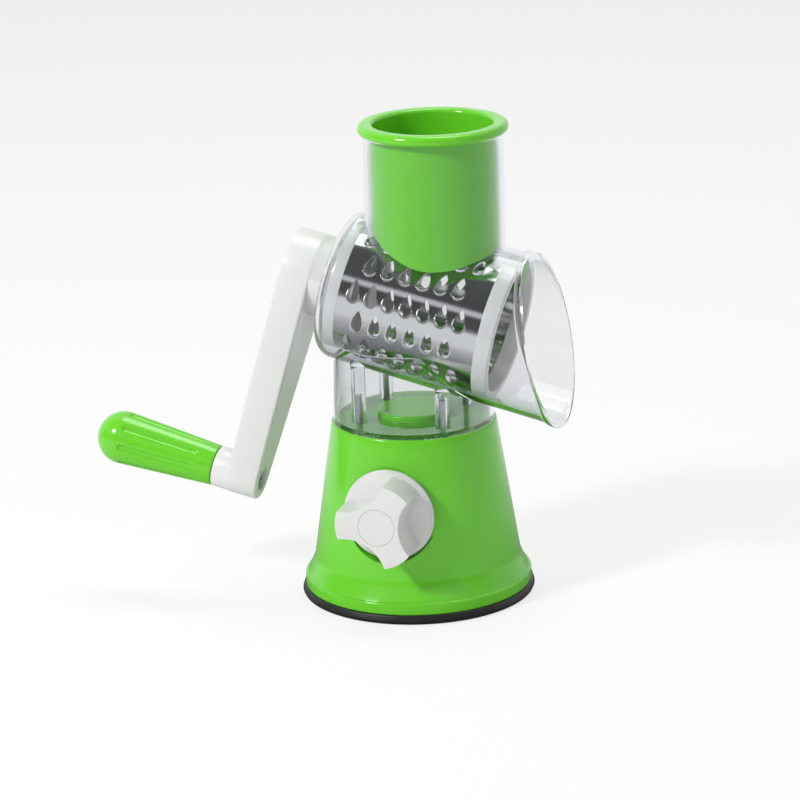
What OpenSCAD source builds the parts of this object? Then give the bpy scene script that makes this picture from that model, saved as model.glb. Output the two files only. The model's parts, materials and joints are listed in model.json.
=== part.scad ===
/* [Base] */
// Height of the deck above the table
base_h = 85.6; // [80:0.1:95]
// Radius of the base at the deck
base_top_r = 39.4; // [38.6:0.1:41]
// Radius of the cone where the foot flare ends
base_cone_r = 49.6; // [48.6:0.1:51]
// Width by which the foot band stands out past the cone
foot_out = 4.9; // [4:0.1:6]
// Height of the foot band
foot_band_h = 5.6; // [4:0.1:7]
// Height of the flare above the foot band
foot_flare_h = 8; // [6:0.1:11]
// Depth of the step above the foot band
foot_step = 1.2; // [0.6:0.1:2]
// Radius of the flare's hollow
flare_r = 12; // [9:0.5:20]
// Wall of the base
base_wall = 2.4; // [1.8:0.1:3]
// Thickness of the deck
deck_t = 2.6; // [2:0.1:4]
// Radius of the pedestal that locates the clear moulding on the deck
pedestal_r = 17.6; // [14:0.1:20]
// Height of the pedestal above the deck
pedestal_h = 5; // [4:0.1:8]

/* [Suction] */
// Width by which the rubber cup stands out past the foot band
cup_out = 1.6; // [1:0.1:3]
// Height of the cup's rim
cup_rim_h = 4.3; // [3.8:0.1:6]
// Thickness of the cup's skin
cup_skin = 2.6; // [1.8:0.1:3.2]
// Width of the cup's rim
cup_rim_w = 7; // [5:0.1:8]
// Radius of the core's disc
core_r = 12; // [10:0.5:16]
// Thickness of the core's disc
core_t = 2.6; // [2:0.1:3.5]
// Radius of the core's hub
core_hub_r = 6; // [5.2:0.1:7]
// Height of the core's hub above its disc
core_hub_h = 8; // [6:0.5:11]
// Distance from the cone's surface in to the edge of the base plate
plate_in = 3.2; // [2.6:0.1:4.6]
// Thickness of the base plate
plate_t = 2.4; // [2:0.1:3.2]
// Height of the base plate's underside
plate_h = 10.6; // [10:0.1:12]
// Distance from the edge of the base plate in to its screws
plate_screw_in = 5.4; // [4.6:0.1:7]
// Radius of the lift rod
rod_r = 3; // [2.6:0.1:3.2]
// Radius of the cross pin
rod_pin_r = 1.2; // [0.8:0.1:1.5]
// Width of the yoke
yoke_w = 20; // [18:0.5:24]
// Height of the yoke
yoke_h = 16; // [14:0.5:20]
// Thickness of the yoke
yoke_t = 6; // [5.5:0.1:7]

/* [Knob] */
// Height of the knob's axis
knob_h = 50.2; // [46:0.1:54]
// Distance from the base's axis to the knob's back
knob_back = 42; // [41.6:0.1:43]
// Distance from the base's axis to the knob's face
knob_face = 63.3; // [60:0.1:66]
// Radius of the knob's skirt
skirt_r = 22; // [20:0.1:23]
// Thickness of the skirt's edge
skirt_edge = 2.4; // [1.5:0.1:3.5]
// Height of the skirt's dome
skirt_rise = 4.6; // [3:0.1:6]
// Radius of the lobes' tips
lobe_r = 20.2; // [18:0.1:21]
// Radius at the bottom of the scallops
scallop_floor = 10.6; // [10:0.1:12]
// Radius of each scallop
scallop_r = 19.4; // [16:0.1:24]
// Radius of the cap in the knob's face
cap_r = 8.75; // [7:0.05:9]
// Thickness of the cap
cap_t = 2; // [1.4:0.1:2.6]
// Throw of the eccentric pin
throw = 3; // [2:0.1:3.2]
// Turn of the knob from released to locked, in degrees
knob_swing = 90; // [60:5:90]
// Radius of the eccentric pin
cam_pin_r = 2.5; // [2:0.1:3]
// Radius of the cam shaft's journal
cam_shaft_r = 4; // [3.5:0.1:4.5]
// Side of the square that drives the knob
knob_sq = 5.4; // [4.8:0.1:5.6]
// Length of the square
knob_sq_l = 8.8; // [7:0.1:10]
// Thickness of the cam shaft's collar
cam_collar_t = 2.6; // [2:0.1:3.5]

/* [Housing] */
// Height of the barrel's underside above the deck, at the base's axis
under_h = 19.93; // [18:0.01:26]
// Slope of the barrel towards its mouth, in degrees
tilt = 13.1; // [12:0.1:14]
// Distance from the base's axis to the barrel's rear face
rear_s = 37.1; // [36:0.1:39]
// Outer radius of the barrel at its rear
barrel_r = 36.3; // [36:0.1:38]
// Growth of the barrel's radius from its rear to the mouth's centre
barrel_flare = 1.2; // [0.8:0.1:2]
// Radius of the barrel's rounded rear edge
barrel_round = 7.4; // [5:0.1:8]
// Wall of the clear moulding
clear_wall = 2; // [1.6:0.1:2.2]
// Distance from the base's axis to the mouth's centre
mouth_s = 69; // [66:0.5:74]
// Slant of the mouth, in degrees
mouth_slant = 23.5; // [10:0.5:26]
// Height of the bead round the mouth
mouth_bead = 1.2; // [0.6:0.1:2]
// Width of the bead round the mouth
mouth_bead_w = 3; // [2:0.1:4]
// Outer radius of the collar at the deck
collar_r = 38.7; // [38.2:0.1:40]
// Outer radius of the collar where it meets the barrel's rear
collar_top_r = 37; // [36.4:0.1:37.8]
// Distance of the clear bosses from the base's axis
boss_at = 28.8; // [27:0.1:30]
// Radius of the clear bosses
boss_r = 3.4; // [2.8:0.1:4]
// Radius of the sleeve that carries the drive shaft
sleeve_r = 12; // [11:0.1:13]
// Length of the sleeve behind the rear face
sleeve_l = 3; // [2:0.1:4]

/* [Chute] */
// Distance of the chute's axis in front of the base's axis
chute_x = 13.5; // [12:0.1:15]
// Outer radius of the chute
chute_r = 33.1; // [32.8:0.1:34]
// Height of the chute's top above the barrel's axis
chute_h = 82.2; // [72:0.1:92]

/* [Pusher] */
// Height of the pusher's rim
rim_h = 5; // [4:0.1:7]
// Outer radius of the pusher's rim
rim_r = 35.4; // [34.5:0.1:37]
// Wall of the pusher
pusher_wall = 2; // [1.6:0.1:3]
// Radius of the hollow under the pusher
saddle_r = 46.8; // [44:0.1:50]
// Drop of the hollow's centre below the drum's axis
saddle_drop = 10; // [9:0.1:12]

/* [Drum] */
// Distance from the base's axis to the sheet's rear edge
sheet_rear_s = 27; // [25:0.5:28]
// Distance from the base's axis to the ring's rear edge
ring_s = 42.9; // [41:0.1:45]
// Outer radius of the sheet at its rear edge
sheet_rear_r = 31; // [30.5:0.1:31.4]
// Outer radius of the sheet at the ring
sheet_front_r = 33.2; // [32.6:0.1:33.3]
// Thickness of the sheet
sheet_t = 0.7; // [0.5:0.1:0.9]
// Width of the front ring
ring_w = 7.6; // [6:0.1:9]
// Outer radius of the front ring
ring_r = 34.3; // [34:0.1:34.5]
// Distance from the base's axis to the hub's rear face
hub_rear_s = 33; // [32:0.1:33.5]
// Radius of the hub's centre
hub_core_r = 10.5; // [9.5:0.1:12]
// Number of ribs in the hub
hub_ribs = 6; // [4:1:8]
// Number of rows of teeth
tooth_rows = 14; // [10:2:14]
// Number of teeth in the longer rows
row_teeth = 7; // [4:1:7]
// Turn of the first row above the knob's side, in degrees
row_offset = -10.4; // [-25:0.1:25]
// Distance from the base's axis to the middle of the rows
rows_s = 6.45; // [6:0.05:8]
// Spacing of the teeth along a row
tooth_pitch = 8.78; // [8.4:0.01:8.9]
// Radius of a tooth's round end
tooth_r = 3.3; // [2.8:0.1:3.5]
// Length of a tooth
tooth_l = 12.2; // [11:0.1:12.6]
// Height of a tooth above the sheet
tooth_h = 1.5; // [1:0.1:1.6]
// Tilt of a tooth's lip, in degrees
tooth_tilt = 9; // [5:0.5:12]
// Width of a tooth's lip
tooth_lip = 0.6; // [0.4:0.05:0.8]

/* [Crank] */
// Distance from the shaft to the grip's axis
crank_l = 101; // [90:1:110]
// Turn of the crank from straight down, in degrees
crank_turn = 19.3; // [0:0.1:90]
// Distance from the base's axis to the arm's inner face
arm_s = 45.5; // [45:0.1:47]
// Thickness of the arm
arm_t = 15.5; // [13:0.1:17]
// Radius of the arm at the hub
hub_r = 19.8; // [18.5:0.1:21]
// Radius of the arm at the grip
arm_end_r = 10.1; // [9.9:0.1:11]
// Wall of the arm
arm_wall = 2.2; // [1.8:0.1:3]
// Depth of the hollow in the arm's back
arm_hollow = 12; // [8:0.5:12.5]
// Radius of the journal
journal_r = 8.9; // [8.4:0.1:9.4]
// Side of the shaft's square
shaft_sq = 11; // [10:0.1:11.6]

/* [Grip] */
// Length of the grip
grip_l = 61; // [55:0.5:70]
// Radius of the grip at the arm
grip_r = 9.8; // [9.4:0.1:10.6]
// Radius of the grip at its tip
grip_tip_r = 12.75; // [12:0.05:13.5]
// Length of the arm's boss towards the grip
grip_boss_l = 7.7; // [5:0.1:9]
// Number of flutes
flutes = 8; // [6:1:10]
// Radius of each flute
flute_r = 2.2; // [1.5:0.1:2.6]
// Depth of each flute
flute_d = 0.9; // [0.5:0.1:1.2]
// Radius of the grip's bolt
grip_bolt_r = 3; // [2.5:0.1:3.5]

/* [Fits] */
// Clearance of a running fit
run_gap = 0.1; // [0.05:0.01:0.1]
// Clearance of a push fit between fixed pieces
push_gap = 0.05; // [0.02:0.01:0.08]
// Clearance between the pusher and the chute
slide_gap = 1; // [0.6:0.1:1.2]
// Gap between faces that turn past each other
face_gap = 0.4; // [0.3:0.05:0.5]
// Gap around the knob in its pocket
pocket_gap = 1; // [0.6:0.1:1.4]
// Radius of the small screws
screw_r = 1.5; // [1.3:0.1:1.7]
// Radius of the small screws' heads
screw_head_r = 2.9; // [2.6:0.1:3]
// Height of the small screws' heads
screw_head_h = 2; // [1.6:0.1:2.4]
// Length of the screws in the base plate
screw_l = 14; // [10:0.5:16]
// Length of the screws in the clear bosses
housing_screw_l = 18; // [14:0.5:20]

/* [Hidden] */
$fn = 96;

// Overrun of every cut
over = 1;
// Height of the barrel's axis where it crosses the base's axis
axis_h = base_h + under_h + barrel_r / cos(tilt);
// Height of the chute's top
chute_top = axis_h + chute_h;
// Reach of the cutting blocks, past the whole part
reach = base_h + axis_h;

// Base
base_foot_r = base_cone_r + foot_out;
cup_r = base_foot_r + cup_out;
plate_r = base_cone_r - plate_in;
plate_screw_at = plate_r - plate_screw_in;
shell_z = cup_rim_h;
band_z = shell_z + foot_band_h;
cone_z = band_z + foot_flare_h;
cone_slope = (base_cone_r - base_top_r) / (base_h - cone_z);
band_top_r = base_foot_r - foot_step;
flare_dx = band_top_r - base_cone_r;
flare_half = sqrt(flare_dx * flare_dx + foot_flare_h * foot_flare_h) / 2;
flare_back = sqrt(flare_r * flare_r - flare_half * flare_half);
flare_c = [
  (band_top_r + base_cone_r) / 2 + flare_back * foot_flare_h / (2 * flare_half),
  (band_z + cone_z) / 2 + flare_back * flare_dx / (2 * flare_half)
];
deck_z = base_h - deck_t;
plate_boss_r = screw_r * 3;
plate_boss_top = min(deck_z, cone_z + (base_cone_r - base_wall - plate_screw_at) / cone_slope);

// Knob and cam
pocket_r = skirt_r + pocket_gap;
pocket_floor = knob_back - pocket_gap;
pocket_in = pocket_floor - base_wall;
cam_bore_l = base_wall * 5;
cam_boss_r = cam_shaft_r + base_wall + run_gap;
cam_boss_end = pocket_floor - cam_bore_l;
cam_web_t = yoke_t * 0.7;
cam_pin_l = yoke_t + 2 * face_gap;
cam_web_r = throw + cam_pin_r + over;
knob_seat = knob_back + knob_sq_l;
knob_screw_r = screw_r * 1.2;
knob_head_r = screw_head_r * 1.3;
knob_head_h = screw_head_h * 1.2;
knob_web_t = knob_head_h;
scallop_at = scallop_floor + scallop_r;
dome_r = (skirt_r * skirt_r + skirt_rise * skirt_rise) / (2 * skirt_rise);
slot_half_w = throw + cam_pin_r + face_gap;
slot_half_h = cam_pin_r + 2.5 * run_gap;
rod_z = cup_skin + core_t;

// Barrel
barrel_slope = barrel_flare / (mouth_s + rear_s);
mouth_reach = mouth_s + barrel_r;
journal_bore_r = journal_r + run_gap;

// Pusher
chute_in_r = chute_r - clear_wall;
pusher_r = chute_in_r - slide_gap;
pusher_top = chute_top + rim_h;

// Drum
sheet_slope = (sheet_front_r - sheet_rear_r) / (ring_s + sheet_rear_s);
sheet_lap = ring_w / 3;
hub_spigot_l = ring_w * 0.8;
hub_web_t = clear_wall;
hub_core_l = hub_core_r * 1.5;
tooth_point = tooth_l - tooth_r;
tooth_side_r = (tooth_point * tooth_point + tooth_r * tooth_r) / (2 * tooth_r);
tooth_proud = tooth_h - tooth_r * sin(tooth_tilt) - pow(tooth_l / 4 + tooth_r, 2) / (2 * sheet_rear_r);

// Crank
arm_back_s = arm_s + arm_t;
hub_front_s = rear_s + face_gap;
sleeve_room = sleeve_l + face_gap;
shaft_tail_sq = shaft_sq * 1.1;
shaft_tail_l = shaft_sq * 0.6;
shaft_tail_s = arm_s - clear_wall;
shaft_front_s = hub_rear_s - hub_core_l + clear_wall;
journal_front_s = hub_rear_s + face_gap;
big_screw_r = grip_bolt_r * 0.8;
big_head_r = grip_bolt_r * 1.7;
big_head_h = grip_bolt_r;
shaft_screw_s = shaft_tail_s + shaft_tail_l;

// Grip
grip_s = arm_back_s + grip_boss_l + face_gap;
grip_tip_s = grip_s + grip_l - grip_tip_r;
grip_slope = atan((grip_tip_r - grip_r) / (grip_tip_s - grip_s));
flute_start = grip_l * 0.12;
flute_end = grip_l * 0.66;
bolt_head_r = grip_bolt_r * 1.7;
bolt_head_h = grip_bolt_r * 0.9;
bolt_in = grip_l * 0.5;
recess_d = grip_bolt_r * 1.6;
washer_t = grip_bolt_r * 0.25;

// Colours
green = [0.45, 0.83, 0.19];
white = [0.93, 0.93, 0.91];
clear = [0.82, 0.88, 0.9, 0.35];
steel = [0.75, 0.76, 0.77];
black = [0.09, 0.09, 0.1];

// The barrel's frame: +Z runs along the barrel to the mouth, +X points down
module on_axis(s = 0) {
  translate([0, 0, axis_h]) rotate([0, 90 + tilt, 0]) translate([0, 0, s]) children();
}

// The knob's frame: +Z points out of the knob's face, +Y up
module on_knob(s = 0) {
  translate([0, 0, knob_h]) rotate([90, 0, 0]) translate([0, 0, s]) children();
}

// The grip's frame: the barrel's frame moved to the crank's end, +Z to the rear
module on_grip(s = 0) {
  on_axis() rotate([0, 0, -crank_turn]) translate([crank_l, 0, -s]) rotate([180, 0, 0]) children();
}

// A block centred on Z, with its lower face at zero
module block(w, d, h) {
  translate([-w / 2, -d / 2, 0]) cube([w, d, h]);
}

// Four copies at the corners of a square, at the given distance from the middle
module corners(at) {
  for (i = [0:3]) rotate([0, 0, 45 + 90 * i]) translate([at, 0, 0]) children();
}

// A screw with its head's underside at zero, shank upwards
module screw(r, l, head_r, head_h) {
  cylinder(r = r, h = l);
  difference() {
    translate([0, 0, -head_h]) cylinder(r1 = head_r * 0.8, r2 = head_r, h = head_h);
    for (a = [0, 90]) rotate([0, 0, a])
      translate([0, 0, -head_h - over]) block(head_r, head_r * 0.25, over + head_h * 0.5);
  }
}

// Outer solid of the base, from the foot to the deck
module base_solid() {
  rotate_extrude() difference() {
    polygon([
      [0, shell_z], [base_foot_r, shell_z], [base_foot_r, band_z - foot_step * 0.4],
      [base_foot_r - foot_step * 0.4, band_z], [band_top_r, band_z], [base_cone_r, cone_z],
      [base_top_r, base_h], [0, base_h]
    ]);
    translate(flare_c) circle(r = flare_r);
  }
}

// Inner space of the base
module base_hollow() {
  rotate_extrude() polygon([
    [0, shell_z - over], [base_foot_r - base_wall, shell_z - over],
    [base_foot_r - base_wall, band_z - base_wall], [base_cone_r - base_wall, cone_z],
    [base_top_r - base_wall, deck_z], [0, deck_z]
  ]);
}

// Green base with its deck, pedestal, foot band, knob pocket, bosses and bearing
module base_shell() color(green) difference() {
  union() {
    difference() {
      base_solid();
      base_hollow();
    }
    intersection() {
      base_solid();
      union() {
        on_knob(pocket_in) cylinder(r = pocket_r + base_wall, h = reach);
        on_knob(cam_boss_end) cylinder(r = cam_boss_r, h = cam_bore_l);
        corners(plate_screw_at) translate([0, 0, plate_h + plate_t])
          cylinder(r = plate_boss_r, h = plate_boss_top - plate_h);
      }
    }
    translate([0, 0, deck_z]) cylinder(r = pedestal_r, h = deck_t + pedestal_h);
  }
  translate([0, 0, deck_z - over]) cylinder(r = pedestal_r - deck_t, h = pedestal_h + over);
  on_knob(pocket_floor) cylinder(r = pocket_r, h = reach);
  on_knob() cylinder(r = cam_shaft_r + run_gap, h = reach);
  corners(boss_at) translate([0, 0, deck_z - over])
    cylinder(r = screw_r + run_gap, h = deck_t + 2 * over);
  corners(plate_screw_at) translate([0, 0, plate_h + plate_t - over])
    cylinder(r = screw_r + push_gap, h = screw_l);
}

// Rigid plate that backs the suction cup
module base_plate() color(white) difference() {
  translate([0, 0, cup_skin + face_gap])
    cylinder(r = plate_r, h = plate_h + plate_t - cup_skin - face_gap);
  translate([0, 0, -over]) cylinder(r = plate_r - plate_t, h = plate_h + over);
  translate([0, 0, -over]) cylinder(r = core_hub_r + over, h = reach);
  corners(plate_screw_at) cylinder(r = screw_r + run_gap, h = reach);
}

// Four screws that hold the plate to the base
module base_plate_screws() color(steel)
  corners(plate_screw_at) translate([0, 0, plate_h])
    screw(screw_r, screw_l * 0.8, screw_head_r, screw_head_h);

// Rubber cup, flat on the table
module suction_cup() color(black) rotate_extrude() union() {
  square([cup_r - cup_skin / 2, cup_skin]);
  translate([cup_r - cup_rim_w, 0]) square([cup_rim_w - cup_skin / 2, cup_rim_h]);
  translate([cup_r - cup_skin / 2, cup_skin / 2]) circle(r = cup_skin / 2);
  translate([cup_r - cup_skin / 2, 0]) square([cup_skin * 0.4, cup_skin / 2]);
  translate([cup_r - cup_skin, cup_skin / 2]) square([cup_skin, cup_rim_h - cup_skin]);
}

// Rigid core that lifts the cup's middle
module cup_core() color(white) difference() {
  translate([0, 0, cup_skin]) union() {
    cylinder(r = core_r, h = core_t);
    cylinder(r = core_hub_r, h = core_t + core_hub_h);
  }
  translate([0, 0, rod_z]) cylinder(r = rod_r + push_gap, h = reach);
  translate([0, 0, rod_z + core_hub_h / 2]) rotate([90, 0, 0])
    cylinder(r = rod_pin_r + push_gap, h = reach, center = true);
}

// Cross pin through core and rod
module rod_pin() color(steel)
  translate([0, 0, rod_z + core_hub_h / 2]) rotate([90, 0, 0])
    cylinder(r = rod_pin_r, h = 2 * core_hub_r - over, center = true);

// Rod with the slotted yoke round the eccentric pin
module lift_rod() color(steel) difference() {
  union() {
    translate([0, 0, rod_z]) cylinder(r = rod_r, h = knob_h - yoke_h / 2 - rod_z + over);
    translate([0, -yoke_t / 2, knob_h - throw * sin(knob_swing / 2)]) rotate([-90, 0, 0])
      intersection() {
        block(yoke_w, yoke_h, yoke_t);
        cylinder(r = yoke_w / 2, h = yoke_t);
      }
  }
  on_knob(-yoke_t) translate([0, -throw * sin(knob_swing / 2), 0]) {
    translate([-slot_half_w, 0, 0]) cylinder(r = slot_half_h, h = 2 * yoke_t);
    translate([slot_half_w, 0, 0]) cylinder(r = slot_half_h, h = 2 * yoke_t);
    block(2 * slot_half_w, 2 * slot_half_h, 2 * yoke_t);
  }
  translate([0, 0, rod_z + core_hub_h / 2]) rotate([90, 0, 0])
    cylinder(r = rod_pin_r + push_gap, h = reach, center = true);
}

// Shaft with a collar, web and eccentric pin, turned by the knob's square
module cam_shaft() color(steel) difference() {
  union() {
    on_knob(cam_boss_end - face_gap) cylinder(r = cam_shaft_r, h = knob_back - cam_boss_end);
    on_knob(knob_back - over) block(knob_sq, knob_sq, knob_sq_l);
    on_knob(cam_boss_end - face_gap - cam_collar_t)
      cylinder(r = cam_boss_r, h = cam_collar_t);
    on_knob(cam_pin_l / 2 + face_gap)
      cylinder(r = cam_shaft_r, h = cam_boss_end - face_gap - cam_pin_l / 2 - cam_collar_t);
    on_knob(cam_pin_l / 2) cylinder(r = cam_web_r, h = cam_web_t);
    on_knob(-cam_pin_l / 2) rotate([0, 0, -knob_swing / 2]) translate([throw, 0, 0])
      cylinder(r = cam_pin_r, h = cam_pin_l + over);
  }
  on_knob(knob_back - knob_sq_l / 2) cylinder(r = knob_screw_r + push_gap, h = reach);
}

// Outline of the knob's three lobes
module lobes() {
  difference() {
    circle(r = lobe_r);
    for (i = [0:2]) rotate([0, 0, 120 * i]) translate([scallop_at, 0]) circle(r = scallop_r);
  }
}

// Three-lobed knob with its domed skirt
module knob() color(white) difference() {
  union() {
    on_knob(knob_back) rotate_extrude() intersection() {
      square([skirt_r, skirt_edge + skirt_rise]);
      translate([0, skirt_edge + skirt_rise - dome_r]) circle(r = dome_r);
    }
    on_knob(knob_back + over) linear_extrude(knob_face - knob_back - over) lobes();
  }
  on_knob(knob_back - over) block(knob_sq + 2 * push_gap, knob_sq + 2 * push_gap, knob_sq_l + over);
  on_knob(knob_back) cylinder(r = knob_screw_r + run_gap, h = reach);
  on_knob(knob_seat + knob_web_t) cylinder(r = knob_head_r + over, h = reach);
  on_knob(knob_face - cap_t) cylinder(r = cap_r + push_gap, h = reach);
}

// Screw that holds the knob on its shaft
module knob_screw() color(steel)
  on_knob(knob_seat + knob_web_t) rotate([180, 0, 0])
    screw(knob_screw_r, knob_web_t + knob_sq_l, knob_head_r, knob_head_h);

// Round cap over the knob's screw
module knob_cap() color(white)
  on_knob(knob_face - cap_t) cylinder(r = cap_r, h = cap_t);

// Solid of the barrel at the given inset from its outer face, closed at the rear
module barrel(inset, front) {
  r = barrel_r - inset;
  round_r = barrel_round - inset;
  rear = inset - rear_s;
  on_axis() rotate_extrude() union() {
    polygon([
      [0, rear], [r - round_r, rear], [r - round_r, rear + round_r], [r, rear + round_r],
      [r + barrel_slope * (front - rear - round_r), front], [0, front]
    ]);
    translate([r - round_r, rear + round_r]) circle(r = round_r);
  }
}

// Everything in front of the slanted mouth, less the given distance
module past_mouth(back) {
  on_axis(mouth_s) rotate([0, -mouth_slant, 0]) translate([0, 0, -back]) block(reach, reach, reach);
}

// Solid of the collar under the barrel, at the given inset from its outer face
module collar(inset) {
  translate([0, 0, base_h + inset])
    cylinder(r1 = collar_r - inset, r2 = collar_top_r - inset, h = axis_h - base_h - barrel_r / 2);
}

// Clear moulding: floor, collar, barrel, chute, mouth and screw bosses
module housing() color(clear) difference() {
  union() {
    difference() {
      barrel(0, mouth_reach);
      past_mouth(0);
    }
    intersection() {
      on_axis() cylinder(r = barrel_r + barrel_flare + mouth_bead, h = mouth_reach);
      difference() {
        past_mouth(mouth_bead_w);
        past_mouth(0);
      }
    }
    difference() {
      collar(0);
      collar(clear_wall);
    }
    intersection() {
      corners(boss_at) translate([0, 0, base_h]) cylinder(r = boss_r, h = axis_h - base_h);
      collar(clear_wall / 2);
    }
    translate([chute_x, 0, axis_h]) cylinder(r = chute_r, h = chute_top - axis_h);
    on_axis(-rear_s - sleeve_l) cylinder(r = sleeve_r, h = sleeve_l + clear_wall);
  }
  barrel(clear_wall, mouth_reach + over);
  translate([0, 0, base_h - over]) cylinder(r = pedestal_r + push_gap, h = clear_wall + 2 * over);
  translate([chute_x, 0, axis_h + clear_wall]) cylinder(r = chute_in_r, h = reach);
  on_axis(-arm_s) cylinder(r = journal_bore_r, h = arm_s);
  corners(boss_at) translate([0, 0, base_h - over])
    cylinder(r = screw_r + push_gap, h = housing_screw_l);
}

// Four screws up through the deck into the clear bosses
module housing_screws() color(steel)
  corners(boss_at) translate([0, 0, deck_z])
    screw(screw_r, housing_screw_l, screw_head_r, screw_head_h);

// Outline of the arm at the given inset, from the hub to the grip's end
module arm_outline(inset) {
  big = hub_r - inset;
  small = arm_end_r - inset;
  lean = acos((big - small) / crank_l);
  circle(r = big);
  translate([crank_l, 0]) circle(r = small);
  polygon([
    [big * cos(lean), big * sin(lean)], [crank_l + small * cos(lean), small * sin(lean)],
    [crank_l + small * cos(lean), -small * sin(lean)], [big * cos(lean), -big * sin(lean)]
  ]);
}

// White arm, hollow and ribbed at the back, with its hub and the boss for the grip
module crank_arm() color(white) difference() {
  on_axis(-arm_back_s) rotate([0, 0, -crank_turn]) union() {
    difference() {
      linear_extrude(arm_t) arm_outline(0);
      translate([0, 0, -over]) linear_extrude(arm_hollow + over) arm_outline(arm_wall);
    }
    intersection() {
      linear_extrude(arm_t) arm_outline(arm_wall / 2);
      union() {
        cylinder(r = journal_r + arm_wall, h = arm_t);
        translate([crank_l, 0, 0]) cylinder(r = bolt_head_r + arm_wall, h = arm_t);
        translate([0, -arm_wall / 2, arm_wall]) cube([crank_l, arm_wall, arm_t - arm_wall]);
        for (i = [1:5]) translate([hub_r + i * (crank_l - hub_r) / 6, 0, arm_wall])
          block(arm_wall, 2 * hub_r, arm_t - arm_wall);
      }
    }
    translate([0, 0, arm_hollow]) cylinder(r = hub_r, h = arm_back_s - hub_front_s - arm_hollow);
    translate([crank_l, 0, -grip_boss_l]) cylinder(r = grip_r, h = grip_boss_l + arm_wall);
  }
  on_axis(-hub_front_s - sleeve_room) cylinder(r = sleeve_r + face_gap, h = reach);
  on_axis(-shaft_tail_s) cylinder(r = journal_r + push_gap, h = reach);
  on_axis(-shaft_screw_s)
    block(shaft_tail_sq + 2 * push_gap, shaft_tail_sq + 2 * push_gap, shaft_tail_l + over);
  on_axis(-reach) cylinder(r = big_screw_r + run_gap, h = reach);
  on_axis(-reach) cylinder(r = big_head_r + over, h = reach - arm_back_s + 2 * big_head_h);
  on_grip(arm_s - over) cylinder(r = bolt_head_r + over / 2, h = recess_d + over);
  on_grip() cylinder(r = grip_bolt_r + run_gap, h = reach);
}

// Shaft with the journal and the square that drives the drum
module drive_shaft() color(white) difference() {
  union() {
    on_axis(-shaft_tail_s) cylinder(r = journal_r, h = shaft_tail_s - journal_front_s);
    on_axis(-shaft_screw_s) block(shaft_tail_sq, shaft_tail_sq, shaft_tail_l + over);
    on_axis(-journal_front_s - over)
      block(shaft_sq, shaft_sq, journal_front_s - shaft_front_s + over);
  }
  on_axis(-shaft_screw_s - over) cylinder(r = big_screw_r + push_gap, h = hub_core_l + over);
}

// Screw that holds the shaft in the crank's hub
module shaft_screw() color(steel)
  on_axis(-arm_back_s + 2 * big_head_h)
    screw(big_screw_r, arm_t, big_head_r, big_head_h);

// Green grip, round at the tip and fluted along its length
module grip() color(green) difference() {
  on_grip(grip_s) rotate_extrude() union() {
    polygon([
      [0, 0], [grip_r, 0], [grip_tip_r, grip_l - grip_tip_r], [0, grip_l - grip_tip_r]
    ]);
    intersection() {
      translate([0, grip_l - grip_tip_r]) circle(r = grip_tip_r);
      translate([0, grip_l - grip_tip_r - over]) square([grip_tip_r + over, grip_tip_r + 2 * over]);
    }
  }
  on_grip(grip_s) for (i = [0:flutes - 1]) rotate([0, 0, 360 / flutes * (i + 0.5)])
    translate([grip_r + flute_r - flute_d, 0, 0]) rotate([0, grip_slope, 0])
      translate([0, 0, flute_start]) cylinder(r = flute_r, h = flute_end);
  on_grip(grip_s - over) cylinder(r = grip_bolt_r + push_gap, h = bolt_in + 2 * over);
}

// Bolt from the arm's recess into the grip
module grip_bolt() color(steel)
  on_grip(arm_s + recess_d - washer_t)
    screw(grip_bolt_r, grip_s + bolt_in - arm_s - recess_d, bolt_head_r, bolt_head_h);

// Washer under the bolt's head
module grip_washer() color(steel) on_grip(arm_s + recess_d - washer_t) difference() {
  cylinder(r = bolt_head_r, h = washer_t);
  translate([0, 0, -over]) cylinder(r = grip_bolt_r + push_gap, h = reach);
}

// Outer radius of the sheet at the given distance along the axis
function sheet_r(s) = sheet_rear_r + sheet_slope * (s + sheet_rear_s);

// Solid of the drum's sheet at the given inset, between two places along the axis
module sheet_solid(inset, from, to) {
  on_axis(from) cylinder(r1 = sheet_r(from) - inset, r2 = sheet_r(to) - inset, h = to - from);
}

// Outline of a tooth at the given inset, round end towards +X and point towards -X
module tooth_outline(inset) {
  circle(r = tooth_r - inset);
  // The curved sides start just inside the round end, so they cross its edge cleanly
  intersection() {
    translate([-tooth_l, -tooth_l]) square([tooth_l, 2 * tooth_l]);
    translate([0, tooth_side_r - 0.98 * tooth_r]) circle(r = tooth_side_r - inset);
    translate([0, 0.98 * tooth_r - tooth_side_r]) circle(r = tooth_side_r - inset);
  }
}

// All the teeth, each tilted so that its round end stands out and its point lies flush
module teeth(inset, deep, high) {
  for (row = [0:tooth_rows - 1]) {
    count = row_teeth - 1 + row % 2;
    for (i = [0:count - 1]) {
      s = rows_s + (i - (count - 1) / 2) * tooth_pitch;
      on_axis(s) rotate([0, 0, -90 - row_offset - row * 360 / tooth_rows])
        translate([sheet_r(s), tooth_l / 4, 0]) rotate([0, 0, -tooth_tilt]) translate([-deep, 0, 0])
          rotate([90, 0, 90]) linear_extrude(deep + high) tooth_outline(inset);
    }
  }
}

// Stainless sheet rolled into a cone, with pressed teardrop teeth
module drum_shell() color(steel) difference() {
  union() {
    sheet_solid(0, -sheet_rear_s, ring_s + sheet_lap);
    teeth(0, sheet_t * 2, tooth_proud);
  }
  sheet_solid(sheet_t, -sheet_rear_s - over, ring_s + sheet_lap + over);
  teeth(tooth_lip, tooth_r * 2, tooth_r * 2);
}

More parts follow.
